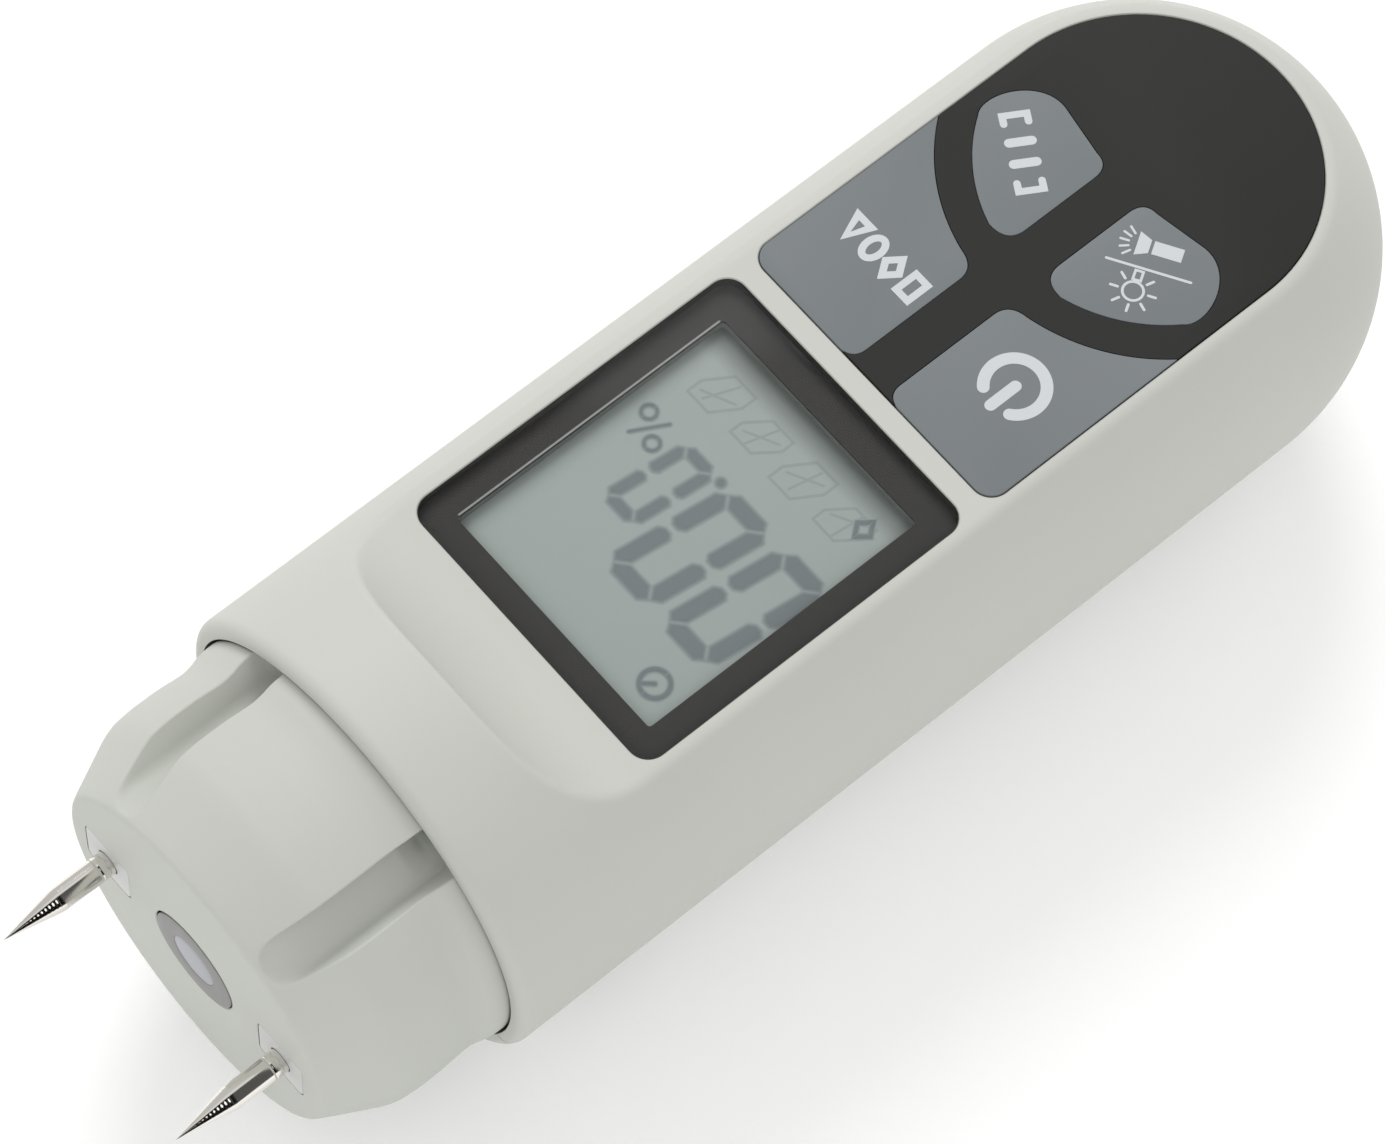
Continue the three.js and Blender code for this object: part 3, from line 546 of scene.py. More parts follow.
INK = material("white_ink", grey((199, 202, 205)), 0.5, grain=1800, bump=0.2, depth=0.01, tint=0.01)
PANE = clear_sheet("window_acrylic")
LCD_FACE = lcd_material("lcd_face", (154, 163, 160))
LCD_TONES = [lcd_material(f"lcd_tone_{step}", tone) for step, tone in enumerate((
    (147, 156, 154), (138, 147, 146), (129, 137, 138), (121, 129, 131), (113, 121, 123)))]
LCD_FAINT = lcd_material("lcd_outline", (144, 153, 150))
NICKEL = material("pin_nickel", (0.84, 0.81, 0.76), 0.13, 1.0, bump=0.03, spread=0.04)
STEEL = material("screw_steel", (0.55, 0.55, 0.56), 0.34, 1.0, grain=1400, bump=0.1)
BEZEL = material("bezel_grey", grey((132, 131, 129)), 0.5, tint=0.02)
LENS = material("torch_lens", grey((147, 149, 157)), 0.3, grain=500, bump=0.03, tint=0.01)
# painted shade: a grey in the tone of the display's shaded edges, for the wall under the print
PAINTED_SHADE_GASKET = material("gasket_painted_shade", grey((122, 127, 125)), 0.7)
# a pale painted highlight for the lit cut edge of the window's print
PAINTED_HIGHLIGHT = material("border_painted_highlight", grey((136, 137, 135)), 0.4, bump=0.03, tint=0.02)
JACKET = material("cell_jacket", grey((62, 76, 104)), 0.32, 0.5, grain=700, tint=0.04)
FOAM = material("foam_pad", grey((86, 88, 92)), 0.95, grain=1500, bump=0.9, depth=0.2, tint=0.1)

# what a node that keeps its CAD shape gets, by its slot
CARRIED = {
    "clear_plastic": material("light_guide", grey((226, 234, 236)), 0.2, grain=500, bump=0.03, tint=0.01),
    "white_plastic": material("white_plastic", grey((236, 236, 232)), 0.5, bump=0.08, tint=0.01),
    "soft_rubber": material("soft_rubber", grey((44, 44, 46)), 0.8, grain=1600, bump=0.3, tint=0.06),
    "circuit_board": material("board_lacquer", grey((30, 108, 62)), 0.35, grain=700, bump=0.1, tint=0.08,
                              patch=120),
    "black_component": material("moulded_black", grey((28, 28, 30)), 0.55, grain=2200, bump=0.2, tint=0.06),
    "socket_brass": material("socket_brass", (0.69, 0.47, 0.18), 0.3, 1.0, bump=0.06, tint=0.04),
    "wire_red": material("wire_red", grey((178, 42, 34)), 0.5, bump=0.06, tint=0.04),
    "wire_black": material("wire_black", grey((42, 42, 44)), 0.5, bump=0.06, tint=0.04),
    "wire_white": material("wire_white", grey((232, 232, 228)), 0.5, bump=0.06, tint=0.02),
    "display_glass": LCD_FACE, "screw_steel": STEEL, "housing_plastic": SHELL, "nose_plastic": NOSE,
    "insert_plastic": INSERT, "black_film": FILM, "key_film": KEY, "bezel_plastic": BEZEL,
    "pin_plating": NICKEL, "battery_jacket": JACKET,
}
for part in frame["record"]["subparts"]:
    node = frame["nodes"][part["node"]]
    node.data.materials.clear()
    node.data.materials.append(FOAM if part["node"] == "battery_pad" else CARRIED[part["material_slot"]])


# ---- the barrel

def smooth_max(a, b, blend):
    near = np.maximum(blend - np.abs(a - b), 0) / blend
    return np.maximum(a, b) + near * near * blend / 4


def barrel_field(radius, deck, scoop, blend, lip, front):
    """Below zero inside the barrel: a rod with a round rear end, cut by the deck and its scoop."""
    centre = deck + scoop

    def field(x, y, z):
        r = np.hypot(y, z)
        along, across = x - (front - lip), r - (radius - lip)
        rim = np.hypot(np.maximum(along, 0), np.maximum(across, 0)) + np.minimum(np.maximum(along, across), 0)
        body = np.where(x < DOME_X, np.hypot(x - DOME_X, r) - radius, rim - lip)
        above = np.where(x > SCOOP_X, scoop - np.hypot(x - SCOOP_X, z - centre), z - deck)
        return smooth_max(body, above, blend)

    return field


HALVINGS = 36


def radial_solid(name, stations, angles, field, reach):
    """A closed solid round the X axis whose surface is where the field turns positive."""
    x, turn = stations[:, None], angles[None, :]
    low = np.zeros((len(stations), len(angles)))
    high = np.full_like(low, reach)
    for _ in range(HALVINGS):
        middle = (low + high) / 2
        inside = field(x, middle * np.sin(turn), middle * np.cos(turn)) < 0
        low, high = np.where(inside, middle, low), np.where(inside, high, middle)
    rings = np.stack([x + 0 * low, low * np.sin(turn), low * np.cos(turn)], axis=2)
    return loft(name, list(rings))


def joined_steps(*spans):
    """One increasing list of values from (start, end, step) spans that follow each other."""
    parts = [np.linspace(a, b, max(2, int(round(abs(b - a) / step)) + 1)) for a, b, step in spans]
    return np.concatenate([parts[0]] + [part[1:] for part in parts[1:]])


half_turn = joined_steps((0, 66, 0.6), (66, 84, 1.5), (84, 180, 3))
ANGLES = np.radians(np.concatenate([half_turn, -half_turn[-2:0:-1]]))


def barrel_stations(front, radius, lip):
    """Places along the axis, closest together at the lip, the scoop's crease and the rear end."""
    lip_part = front - lip * (1 - np.cos(np.linspace(0, QUARTER, 9))) - 5e-4
    straight = joined_steps((lip_part[-1], -26, 0.8), (-26, -31, 0.14), (-31, -39.5, 0.35),
                            (-39.5, -114, 2.5))
    dome = DOME_X - radius * np.sin(np.radians(joined_steps((0, 40, 0.8), (40, 70, 1.2), (70, 89.5, 1.5))))
    return np.concatenate([lip_part, straight[1:], dome])


def barrel_solid(name, radius, deck, scoop, blend, lip, front):
    field = barrel_field(radius, deck, scoop, blend, lip, front)
    return radial_solid(name, barrel_stations(front, radius, lip), ANGLES, field, radius + 2)


def foot_solid():
    """The pad that squares off the barrel's bottom, with softened edges."""
    f = FOOT
    rings = []
    for grow, corner, height in ((-f.edge, f.corner, 0), (0, f.corner + f.edge, f.edge),
                                 (f.flare, f.corner + 1, f.height)):
        half = f.half + grow
        ring = rounded_rectangle(f.rear - grow, f.front + grow, -half, half, corner)
        rings.append(flat(ring, -BARREL + height))
    return loft("foot", rings)


def hollow_tools():
    """The inside of the barrel, the bore for the nose, and the way through the rib between them."""
    b = BORE
    inside = barrel_solid("inside", BARREL - WALL, DECK - DECK_THICK, SCOOP + DECK_THICK, CREASE, 0.4,
                          b.inside)
    return [inside, rod_x(b.rib, b.front, 0, 0, b.radius, FINE_SIDES),
            rod_x(b.rib_rear, b.front, 0, 0, b.throat, FINE_SIDES)]


outer = barrel_solid("outer", BARREL, DECK, SCOOP, CREASE, LIP_ROUND, LIP_X)


def top_shell():
    made = carve(copied(outer, "top_shell"), hollow_tools())
    posts = [rod_z(x, y, PARTING, POST.top, POST.upper) for x, y, _, _ in SCREWS]
    for post in posts:
        carve(post, [copied(outer, "limit")], "INTERSECT")
    carve(made, posts, "UNION")
    v, ledge, wider = VIEW, WINDOW.top - WINDOW.thick - 0.4, 0.7
    tools = [
        block(BEHIND, AHEAD, -ASIDE, ASIDE, 2 * BELOW, PARTING + PARTING_GAP),
        pocket(outline_of(WINDOW), ledge),
        block(v.rear - wider, v.front + wider, -v.half - wider, v.half + wider, UNDER_DECK, ledge + 0.5),
        pocket(keypad_outline(), KEYPAD.top - KEYPAD.thick - 0.05),
    ]
    tools += [rod_z(*stem, UNDER_DECK, STEM.hole_top, STEM.hole) for _, _, stem in KEYS.values()]
    tools += [rod_z(x, y, PARTING - 1, 0, POST.pilot) for x, y, _, _ in SCREWS]
    return carve(made, tools)


def core_solid(radius):
    """A plain rod along the axis with a round rear end."""
    turns = np.radians(np.linspace(0, 90, 31))
    profile = [(DOME_X - radius * math.cos(turn), radius * math.sin(turn)) for turn in turns]
    return turned("core", [*profile, (20, radius)], sides=FINE_SIDES)


def bottom_shell():
    """The lower half, with the battery box, the screw posts and the mouth that the door slides into."""
    c, roof, edge = CELL_BOX, PARTING - PARTING_GAP, DOOR.half + DOOR.gap
    outside = c.half + c.wall
    whole = carve(copied(outer, "whole"), [foot_solid()], "UNION")
    above = block(BEHIND, AHEAD, -ASIDE, ASIDE, roof, 2 * ABOVE)
    made = carve(copied(whole, "bottom_shell"), [*hollow_tools(), above])
    walls = block(c.rear - c.wall, c.front + c.wall, -outside, outside, BELOW, c.top + c.wall)
    shelf = block(SHELF.rear, c.rear - 0.5, -ASIDE / 2, ASIDE / 2, PARTING - SHELF.thick, roof)
    posts = [rod_z(x, y, foot, roof, POST.lower) for x, y, _, foot in SCREWS]
    for piece in [walls, shelf, *posts]:
        carve(piece, [copied(whole, "limit")], "INTERSECT")
    bpy.data.objects.remove(whole)
    carve(made, [walls, shelf, *posts], "UNION")
    hollow = block(c.rear, c.front, -c.half, c.half, BELOW, c.top)
    carve(hollow, [core_solid(BARREL - WALL)], "INTERSECT")
    mouth = block(BEHIND, DOOR.front + 0.3, -edge, edge, BELOW, PARTING)
    carve(mouth, [core_solid(BARREL - WALL - 0.05)])
    slit, w = TAB.half + 0.6, LEAD_WAY
    tools = [
        hollow, mouth,
        block(c.rear - 2, c.rear + 1, -slit, slit, BELOW, TAB.top + 0.4),
        block(c.front - 1, c.front + 3, -w.half, w.half, w.bottom, w.top),
    ]
    for side in (1, -1):
        tools.append(block(BEHIND, RAIL.front + 0.4, side * (edge - 0.3), side * (edge + RAIL.reach),
                           RAIL.bottom - DOOR.gap, RAIL.top + DOOR.gap))
    for x, y, seat, _ in SCREWS:
        tools += [rod_z(x, y, BELOW, PARTING + 1, POST.clear), rod_z(x, y, BELOW, seat, POST.head)]
    return carve(made, tools)


def grip_groove(x):
    """A round-bottomed groove across the door for the thumb."""
    rings = []
    turns = np.linspace(0, 2 * math.pi, 17)[:-1]
    for y, size in ((-6.6, 0.02), (-6.4, 0.5), (-6, 0.8), (6, 0.8), (6.4, 0.5), (6.6, 0.02)):
        along, deep = x + 0.62 * size * np.cos(turns), -BARREL - 0.15 + size * np.sin(turns)
        rings.append(np.column_stack([along, np.full(len(turns), y), deep]))
    return loft("groove", rings)


def battery_door():
    """The sliding door: the barrel's skin, a rail on each side, a tab in front and a thumb grip."""
    front, half = DOOR.front, DOOR.half
    made = block(BEHIND, front, -half, half, BELOW, PARTING - 2 * PARTING_GAP)
    carve(made, [carve(copied(outer, "whole"), [foot_solid()], "UNION")], "INTERSECT")
    carve(made, [core_solid(BARREL - WALL + 0.2)])
    extras = [
        block(TAB.rear, front - 0.6, -TAB.half, TAB.half, -BARREL + WALL - 0.4, TAB.top),
        block(TAB.rear, TAB.front, -TAB.half, TAB.half, TAB.bottom, TAB.top),
    ]
    for side in (1, -1):
        extras.append(block(RAIL.rear, RAIL.front, side * (half - 0.6), side * (half + RAIL.reach),
                            RAIL.bottom, RAIL.top))
    carve(made, extras, "UNION")
    return carve(made, [grip_groove(GRIP.rear + GRIP.pitch * i) for i in range(GRIP.count)])


finished(top_shell(), "top_shell", SHELL, replaces=["top_housing"])
finished(bottom_shell(), "bottom_shell", SHELL, replaces=["bottom_housing"])
finished(battery_door(), "door_shell", SHELL, "battery_door", ["battery_door"])
bpy.data.objects.remove(outer)


# ---- the nose

NOSE_PROFILE = [
    (0.0, 17.55), (-0.1, 17.9), (-0.35, 18.2), (-0.8, 18.47), (-6.0, 21.05), (-7.2, 21.46), (-9.3, 21.64),
    (-12.2, 21.62), (-14.9, 21.4), (-16.2, 21.54), (-17.3, 21.88), (-18.3, 22.0), (-21.1, 22.0),
]
# the four slots; their floors sink in a smooth pit under the barrel's lip
SLOT = Sizes(angle=33.3, half=2.15, floor=18.05, middle=19.5, front=0.0, rear=-20.3,
             flare=0.12, edge=0.28, round=1.5)
PIT = Sizes(front=-16.8, length=2.4, depth=1.15)
NOSE_TAIL = [(-20.9, 0), (-20.9, 20.5), (-22.3, 20.5), (-22.3, 21.7), (-26, 21.7), (-26, 0)]
NOSE_WALL = Sizes(rear=-27, front=-3, radius=16.8)
PIN_BOSS = Sizes(rear=-15, radius=4.25, bore_rear=-16, bore=2.9)
TORCH_BOSS = Sizes(rear=-12, radius=7.4)
INSERT_HALF, INSERT_GAP, INSERT_CORNER, INSERT_DEEP = 3.1, 0.09, 0.75, -1.2
SLOT_TURNS = [SLOT.angle, -SLOT.angle, 180 - SLOT.angle, 180 + SLOT.angle]


def nose_radius(x):
    """The turned profile; behind the front edge its bands meet in soft creases."""
    px, pr = np.array(NOSE_PROFILE)[::-1].T
    spread = np.linspace(-0.45, 0.45, 9)
    soft = np.mean([np.interp(x + step, px, pr) for step in spread], axis=0)
    return np.where(x > -1.6, np.interp(x, px, pr), soft)


def nose_field(x, y, z):
    """Below zero inside the nose: a turned body with four round-ended slots for a protective cap."""
    body = np.hypot(y, z) - nose_radius(x)
    for turn in SLOT_TURNS:
        c, s = math.cos(math.radians(turn)), math.sin(math.radians(turn))
        out, across = y * s + z * c, y * c - z * s
        half = SLOT.half + SLOT.flare * (out - SLOT.floor)
        side = half - np.hypot(across, np.maximum(x - SLOT.front + SLOT.half, 0))
        inwards = -math.copysign(1.0, s * c) * across / (2 * SLOT.half)
        under_lip = np.clip((PIT.front - x) / PIT.length, 0, 1) * np.clip(0.5 + inwards, 0, 1)
        floor = SLOT.floor - PIT.depth * under_lip
        depth = np.minimum(out - floor, x - SLOT.rear)
        void = -smooth_max(-side, -depth, SLOT.round)
        body = smooth_max(body, void, SLOT.edge)
    return body


def nose():
    """The nose block; its surface has more rings and columns at the slots' walls and rear ends."""
    wall = math.degrees(math.asin(SLOT.half / SLOT.middle))
    marks = [s * SLOT.angle + w for s in (1, -1) for w in (wall, -wall)]
    marks += [180 + m for m in marks]
    turns = set(np.round(np.arange(0, 360, 1.8), 3))
    for mark in marks:
        turns |= set(np.round((mark + np.linspace(-2.4, 2.4, 41)) % 360, 3))
    angles = np.radians(sorted(turns))
    stations = -joined_steps((0, 1.2, 0.12), (1.2, 6, 0.4), (6, 19.2, 0.28), (19.2, 20.2, 0.2),
                             (20.2, 21.05, 0.1))
    body = radial_solid("nose_shell", stations, angles, nose_field, BARREL + 2)
    carve(body, [turned("tail", NOSE_TAIL)], "UNION")
    carve(body, [rod_x(NOSE_WALL.rear, NOSE_WALL.front, 0, 0, NOSE_WALL.radius)])
    bosses = [rod_x(PIN_BOSS.rear, -2, y, 0, PIN_BOSS.radius, PIN_SIDES) for y in (PIN_Y, -PIN_Y)]
    bosses.append(rod_x(TORCH_BOSS.rear, -2, 0, 0, TORCH_BOSS.radius, 64))
    carve(body, bosses, "UNION")
    tools = [turned("torch_bore", [(-13, 5.5), (-0.12, 5.5), (0, 5.6), (1, 5.6)])]
    for y in (PIN_Y, -PIN_Y):
        tools += [rod_x(PIN_BOSS.bore_rear, -1, y, 0, PIN_BOSS.bore, PIN_SIDES),
                  insert_block(y, INSERT_HALF + INSERT_GAP, INSERT_CORNER + 0.05, INSERT_DEEP - 0.1, 1)]
    return carve(body, tools)


def insert_block(y, half, corner, x0, x1, edge=0.0):
    """A rounded square round a pin, standing along X."""
    outline = rounded_rectangle(-half, half, -half, half, corner, 6)
    return loft_along_x(outline, [(x0, 0.0), (x1 - edge, 0.0)] + ([(x1, edge)] if edge else []), y)


# the turning rings, with their start and end as shares of the point's length
TURNING = Sizes(rings=15, depth=0.013, start=0.03, end=0.62)


def pin(y):
    """A plated pin: a thread, a parallel shank with a fine groove, and a long point with turning rings.

    The shank has extra rings beside each edge, so that smooth shading stays local.
    """
    thread, r = PIN_RADIUS - 0.2, PIN_RADIUS
    start = PIN_LENGTH - PIN_CONE
    profile = [(-9, 0), (-9, thread - 0.2), (-8.8, thread), (-1.2, thread), (-1.2, r), (-1.1, r), (1.12, r),
               (1.2, r), (1.26, r - 0.02), (1.34, r - 0.04), (1.42, r - 0.02), (1.48, r), (1.56, r),
               (start - 0.35, r), (start - 0.25, r)]
    for t in np.arange(TURNING.rings * 8) / (TURNING.rings * 8):
        wave = math.cos(2 * math.pi * TURNING.rings * t)
        ripple = TURNING.depth * wave * max(0.0, 1 - t / TURNING.end) * min(1.0, t / TURNING.start)
        soft = 0.02 * math.exp(-((t / TURNING.start) ** 2))
        profile.append((start + PIN_CONE * t, r * (1 - t) - soft - ripple))
    profile += [(PIN_LENGTH - 0.03, 0.02), (PIN_LENGTH, 0)]
    return turned("pin", profile, y, 0, PIN_SIDES)


finished(nose(), "nose_shell", NOSE, replaces=["nose_block"])
for side, y in (("left", PIN_Y), ("right", -PIN_Y)):
    plug = insert_block(y, INSERT_HALF, INSERT_CORNER, INSERT_DEEP, 0.0, 0.05)
    carve(plug, [rod_x(-3, 1, y, 0, PIN_RADIUS + PIN_GAP, PIN_SIDES)])
    finished(plug, f"insert_{side}", INSERT, replaces=[f"pin_insert_{side}"])
    finished(pin(y), f"pin_{side}", NICKEL, replaces=[f"measuring_pin_{side}"], sharp=40)


# ---- torch

# the bezel sits a little low in its bore, which leaves a fine gap above it
BEZEL_DROP, BEZEL_INNER, BEZEL_OUTER, LENS_RADIUS = -0.11, 2.8, 5.35, 2.77

bezel = ring_turned("bezel", [
    (-2.4, BEZEL_INNER), (-2.4, BEZEL_OUTER), (-0.04, BEZEL_OUTER), (0.03, 5.3), (0.06, 5.2),
    (0.06, 2.95), (0.04, 2.85), (0, BEZEL_INNER),
], BEZEL_DROP)
finished(bezel, "bezel_ring", BEZEL, replaces=["torch_bezel"])
lens = turned("lens", [
    (-2.6, 0), (-2.6, LENS_RADIUS), (0, LENS_RADIUS), (0.02, 2.7), (0.05, 2.0), (0.08, 1.1), (0.09, 0),
], z=BEZEL_DROP)
finished(lens, "lens_dome", LENS, replaces=["torch_lens"])


# ---- printed marks

def inked(name, outlines, z, thick, ink_material, body=ROOT):
    """Thin printed shapes, or a painted highlight, standing on a surface at height z, as one piece."""
    points, faces = [], []
    for number, outline in enumerate(outlines):
        n, first = len(outline), len(points)
        points += flat(outline, z - 0.004).tolist() + flat(outline, z + thick + 0.0003 * number).tolist()
        faces += [list(range(first, first + n)), list(range(first + n, first + 2 * n))]
        faces += [[first + j, first + (j + 1) % n, first + n + (j + 1) % n, first + n + j] for j in range(n)]
    return finished(mesh_object(name, points, faces), name, ink_material, body, sharp=1)


def stroke(points, width):
    """The outline of a line of the given width through a list of points, mitred at its corners."""
    points = np.asarray(points, float)
    along = np.diff(points, axis=0)
    along /= np.linalg.norm(along, axis=1)[:, None]
    before, after = np.vstack([along[:1], along]), np.vstack([along, along[-1:]])
    normal = np.column_stack([-before[:, 1] - after[:, 1], before[:, 0] + after[:, 0]])
    normal *= width / np.sum(normal ** 2, axis=1)[:, None]
    left, right = points + normal, (points - normal)[::-1]
    caps = []
    for centre, direction in ((points[-1], along[-1]), (points[0], -along[0])):
        base = math.atan2(direction[1], direction[0])
        turns = base + np.linspace(QUARTER, -QUARTER, 9)[1:-1]
        caps.append(centre + width / 2 * np.column_stack([np.cos(turns), np.sin(turns)]))
    return np.concatenate([left, caps[0], right, caps[1]])


# a full circle's start, end and steps
ROUND = (0, 345, 23)


def arc_points(cx, cy, radius, start, end, steps=40):
    turns = np.radians(np.linspace(start, end, steps + 1))
    return np.column_stack([cx + radius * np.cos(turns), cy + radius * np.sin(turns)])


def outlined(outline, width):
    """A closed line round an outline, as two halves that meet."""
    outline = np.asarray(outline, float)
    outside, inside = offset(outline, width / 2), offset(outline, -width / 2)
    outside, inside = np.vstack([outside, outside[:1]]), np.vstack([inside, inside[:1]])
    half = len(outline) // 2
    return [
        np.concatenate([outside[:half + 1], inside[:half + 1][::-1]]),
        np.concatenate([outside[half:], inside[half:][::-1]]),
    ]


def circle(x, y, radius, width):
    return outlined(arc_points(x, y, radius, *ROUND), width)


def rays(x, y, turns, near, far, width):
    """Short strokes that stand out from a point, at turns in degrees from -Y towards +X."""
    made = []
    for turn in turns:
        c, s = math.cos(math.radians(turn)), math.sin(math.radians(turn))
        made.append(stroke([(x + r * s, y - r * c) for r in (near, far)], width))
    return made


def read_along(shapes, x, y, turn=0.0):
    """Turns shapes drawn as (right, up) about a centre into X and Y; up is +X and right is -Y."""
    c, s = math.cos(math.radians(turn)), math.sin(math.radians(turn))
    return [np.array([(x + v * c - u * s, y - u * c - v * s) for u, v in shape]) for shape in shapes]


# ---- display

w = WINDOW
pane = slab("pane", outline_of(WINDOW), w.top - w.thick, w.top, 0.15)
finished(pane, "window_pane", PANE, replaces=["display_window"])

# the print lies under the pane and comes up its edges as a thin dark rim
INK_THICK, INK_RIM, INK_DROP, HAIR = 0.24, 0.07, 0.12, 0.2
ink_top = w.top - w.thick - 0.06
ink = slab("ink", offset(outline_of(WINDOW), INK_RIM), ink_top - INK_THICK, w.top - INK_DROP)
tray = slab("tray", offset(outline_of(WINDOW), 0.01), ink_top, ABOVE)
carve(ink, [tray, slab("view", outline_of(VIEW, 4), UNDER_DECK, ABOVE)])
finished(ink, "window_ink", BORDER, replaces=["window_border"])

# a painted highlight: a pale line along the right side of the view stands for the light that the print's cut
# edge catches
hairline = [(VIEW.rear + 0.4, -VIEW.half - 0.16), (VIEW.front - 0.4, -VIEW.half - 0.16)]
inked("window_painted_highlight", [stroke(hairline, HAIR)], ink_top, 0.01, PAINTED_HIGHLIGHT)

lcd = block(LCD.rear, LCD.front, -LCD.half, LCD.half, LCD.top - LCD.thick, LCD.top)
finished(lcd, "lcd_glass", LCD_FACE, replaces=["lcd_panel"])
# a wall round the view under the print's edge; its grey is painted shade, the tone of the display's shaded
# edges
gasket = slab("gasket", offset(outline_of(VIEW, 4), 0.3), LCD.top + 0.01, ink_top - INK_THICK - 0.01)
carve(gasket, [slab("view", offset(outline_of(VIEW, 4), -0.02), UNDER_DECK, ABOVE)])
finished(gasket, "window_gasket", PAINTED_SHADE_GASKET)


READ_Z = LCD.top + 0.002
CLOCK = (-45.65, 10.2)


def zero_digit(x, y, wide, tall, width, slant):
    """Six segments of a seven-segment digit, leaning over; x and y are its middle.

    cut is how far the corners are cut off, gap half the space between segments.
    """
    h, cut, gap = width / 2, width * 0.85, 0.15
    a, b = wide / 2, tall / 2
    cap = [(h + gap - a, b - h), (a - h - gap, b - h), (a + h - cut / 2 - gap, b + h - cut / 2),
           (a + h - cut, b + h), (cut - a - h, b + h), (cut / 2 + gap - a - h, b + h - cut / 2)]
    post = [(a - h, b - h - gap), (a + h - cut / 2, b + h - cut / 2 - gap), (a + h, b + h - cut),
            (a + h, 0.3 + width * 0.3), (a + h * 0.4, 0.36), (a - h * 0.4, 0.36), (a - h, 0.3 + width * 0.3)]
    shapes = [[(u, v * side) for u, v in cap] for side in (1, -1)]
    shapes += [[(u * side, v * level) for u, v in post] for side in (1, -1) for level in (1, -1)]
    leaning = [[(u + slant * v, v) for u, v in shape] for shape in shapes]
    return read_along(leaning, x, y)


# each digit's middle, width, height, line and slant
DIGITS = (
    (-56.88, 9.65, 4.9, 12.3, 1.85, 0.126),
    (-56.88, 1.8, 4.9, 12.3, 1.85, 0.126),
    (-58.98, -4.8, 3.4, 8.55, 1.3, 0.105),
)
reading = [shape for digit in DIGITS for shape in zero_digit(*digit)]
reading.append(arc_points(-63.4, -1.35, 0.55, *ROUND))

# a percent sign, a clock and a small diamond
small_marks = [
    *circle(-61.15, -8.45, 0.75, 0.4),
    *circle(-63.05, -11.1, 0.75, 0.4),
    stroke([(-63.7, -8.9), (-60.3, -10.75)], 0.34),
    *circle(*CLOCK, 1.45, 0.5),
    stroke([CLOCK, (-44.7, 9.35)], 0.45),
    *outlined([(-69.3, 10.6), (-70.4, 11.5), (-71.5, 10.6), (-70.4, 9.7)], 0.5),
]

# the marks' soft edges: layers that shrink as they darken, in steps for large and small marks
SHADE_THICK = 0.012
SHADES = ((0.2, 0.14), (0.1, 0.07), (0.0, 0.0), (-0.11, -0.05), (-0.22, -0.1))
for step, (grow, grow_small) in enumerate(SHADES):
    layer = [offset(shape, grow) for shape in reading] + [offset(shape, grow_small) for shape in small_marks]
    inked(f"reading_{step}", layer, READ_Z, SHADE_THICK * (step + 1), LCD_TONES[step])

# four faint, unlit pictograms: a block with two lines, each a little different
FAINT = [(-2.3, -0.6), (-0.6, 2.1), (2.3, 2.1), (2.3, 0.4), (0.6, -2.3), (-2.3, -2.3)]
FAINT_X, FAINT_Y, FAINT_LINE = -69.3, (9.1, 3.3, -2.5, -8.2), 0.26
faint = []
for number, y in enumerate(FAINT_Y):
    lines = outlined([(u, v * (1 if number % 2 else 0.85)) for u, v in FAINT], 0.3)
    lines.append(stroke([(-1.6, -1.6 + 0.4 * number), (1.6, 0.2 + 0.3 * number)], FAINT_LINE))
    lines.append(stroke([(-0.5, -1.9), (-0.1 + 0.3 * number, 1.5)], FAINT_LINE))
    faint += read_along(lines, FAINT_X, y)
inked("faint_marks", faint, READ_Z, 0.003, LCD_FAINT)


# ---- keypad and keys

KEY_GAP, KEY_THICK, KEY_EDGE, FILM_EDGE, SIGN_THICK = 0.08, 0.5, 0.06, 0.05, 0.02

film = slab("film", keypad_outline(), KEYPAD.top - KEYPAD.thick, KEYPAD.top, FILM_EDGE)
for row_name, side, _ in KEYS.values():
    hole = key_outline(row_name, 1.0 if row_name == "front" else 0.0)
    carve(film, [slab("cut", offset(on_side(hole, side), KEY_GAP), UNDER_DECK, ABOVE)])
finished(film, "keypad_film", FILM, replaces=["keypad_overlay"])

for key_name, (row_name, side, stem) in KEYS.items():
    cap = slab("cap", on_side(key_outline(row_name), side), KEY_TOP - KEY_THICK, KEY_TOP, KEY_EDGE)
    carve(cap, [rod_z(*stem, STEM.low, KEY_TOP - 0.1, STEM.radius)], "UNION")
    finished(cap, f"keycap_{key_name}", KEY, f"key_{key_name}", [f"key_{key_name}"])


def printed(key_name, outlines):
    """A sign on a key, which moves with it."""
    inked(f"sign_{key_name}", outlines, KEY_TOP, SIGN_THICK, INK, f"key_{key_name}")


# the power key carries an open ring and a bar
POWER_Y = 9.25
printed("power", [
    stroke(arc_points(-89.95, POWER_Y, 2.95, 38, 322, 60), 1.18),
    stroke([(-86.9, POWER_Y), (-90.0, POWER_Y)], 1.15),
])

# the mode key carries a square, a diamond, a circle and a triangle in a row
square = [(-0.8, -1.25), (0.8, -1.25), (0.8, 1.25), (-0.8, 1.25)]
diamond = [(0, -1.3), (0.95, 0), (0, 1.3), (-0.95, 0)]
oval = [(0.85 * u, 1.3 * v) for u, v in arc_points(0, 0, 1, 0, 350, 35)]
triangle = [(-0.95, -1.25), (0.95, -1.25), (0, 1.2)]
MODE_X, MODE_LINE = -89.4, 0.72
mode_row = []
for y, shape in ((-4.55, square), (-7.3, diamond), (-9.95, oval), (-12.6, triangle)):
    mode_row += read_along(outlined(shape, MODE_LINE), MODE_X, y)
printed("mode", mode_row)

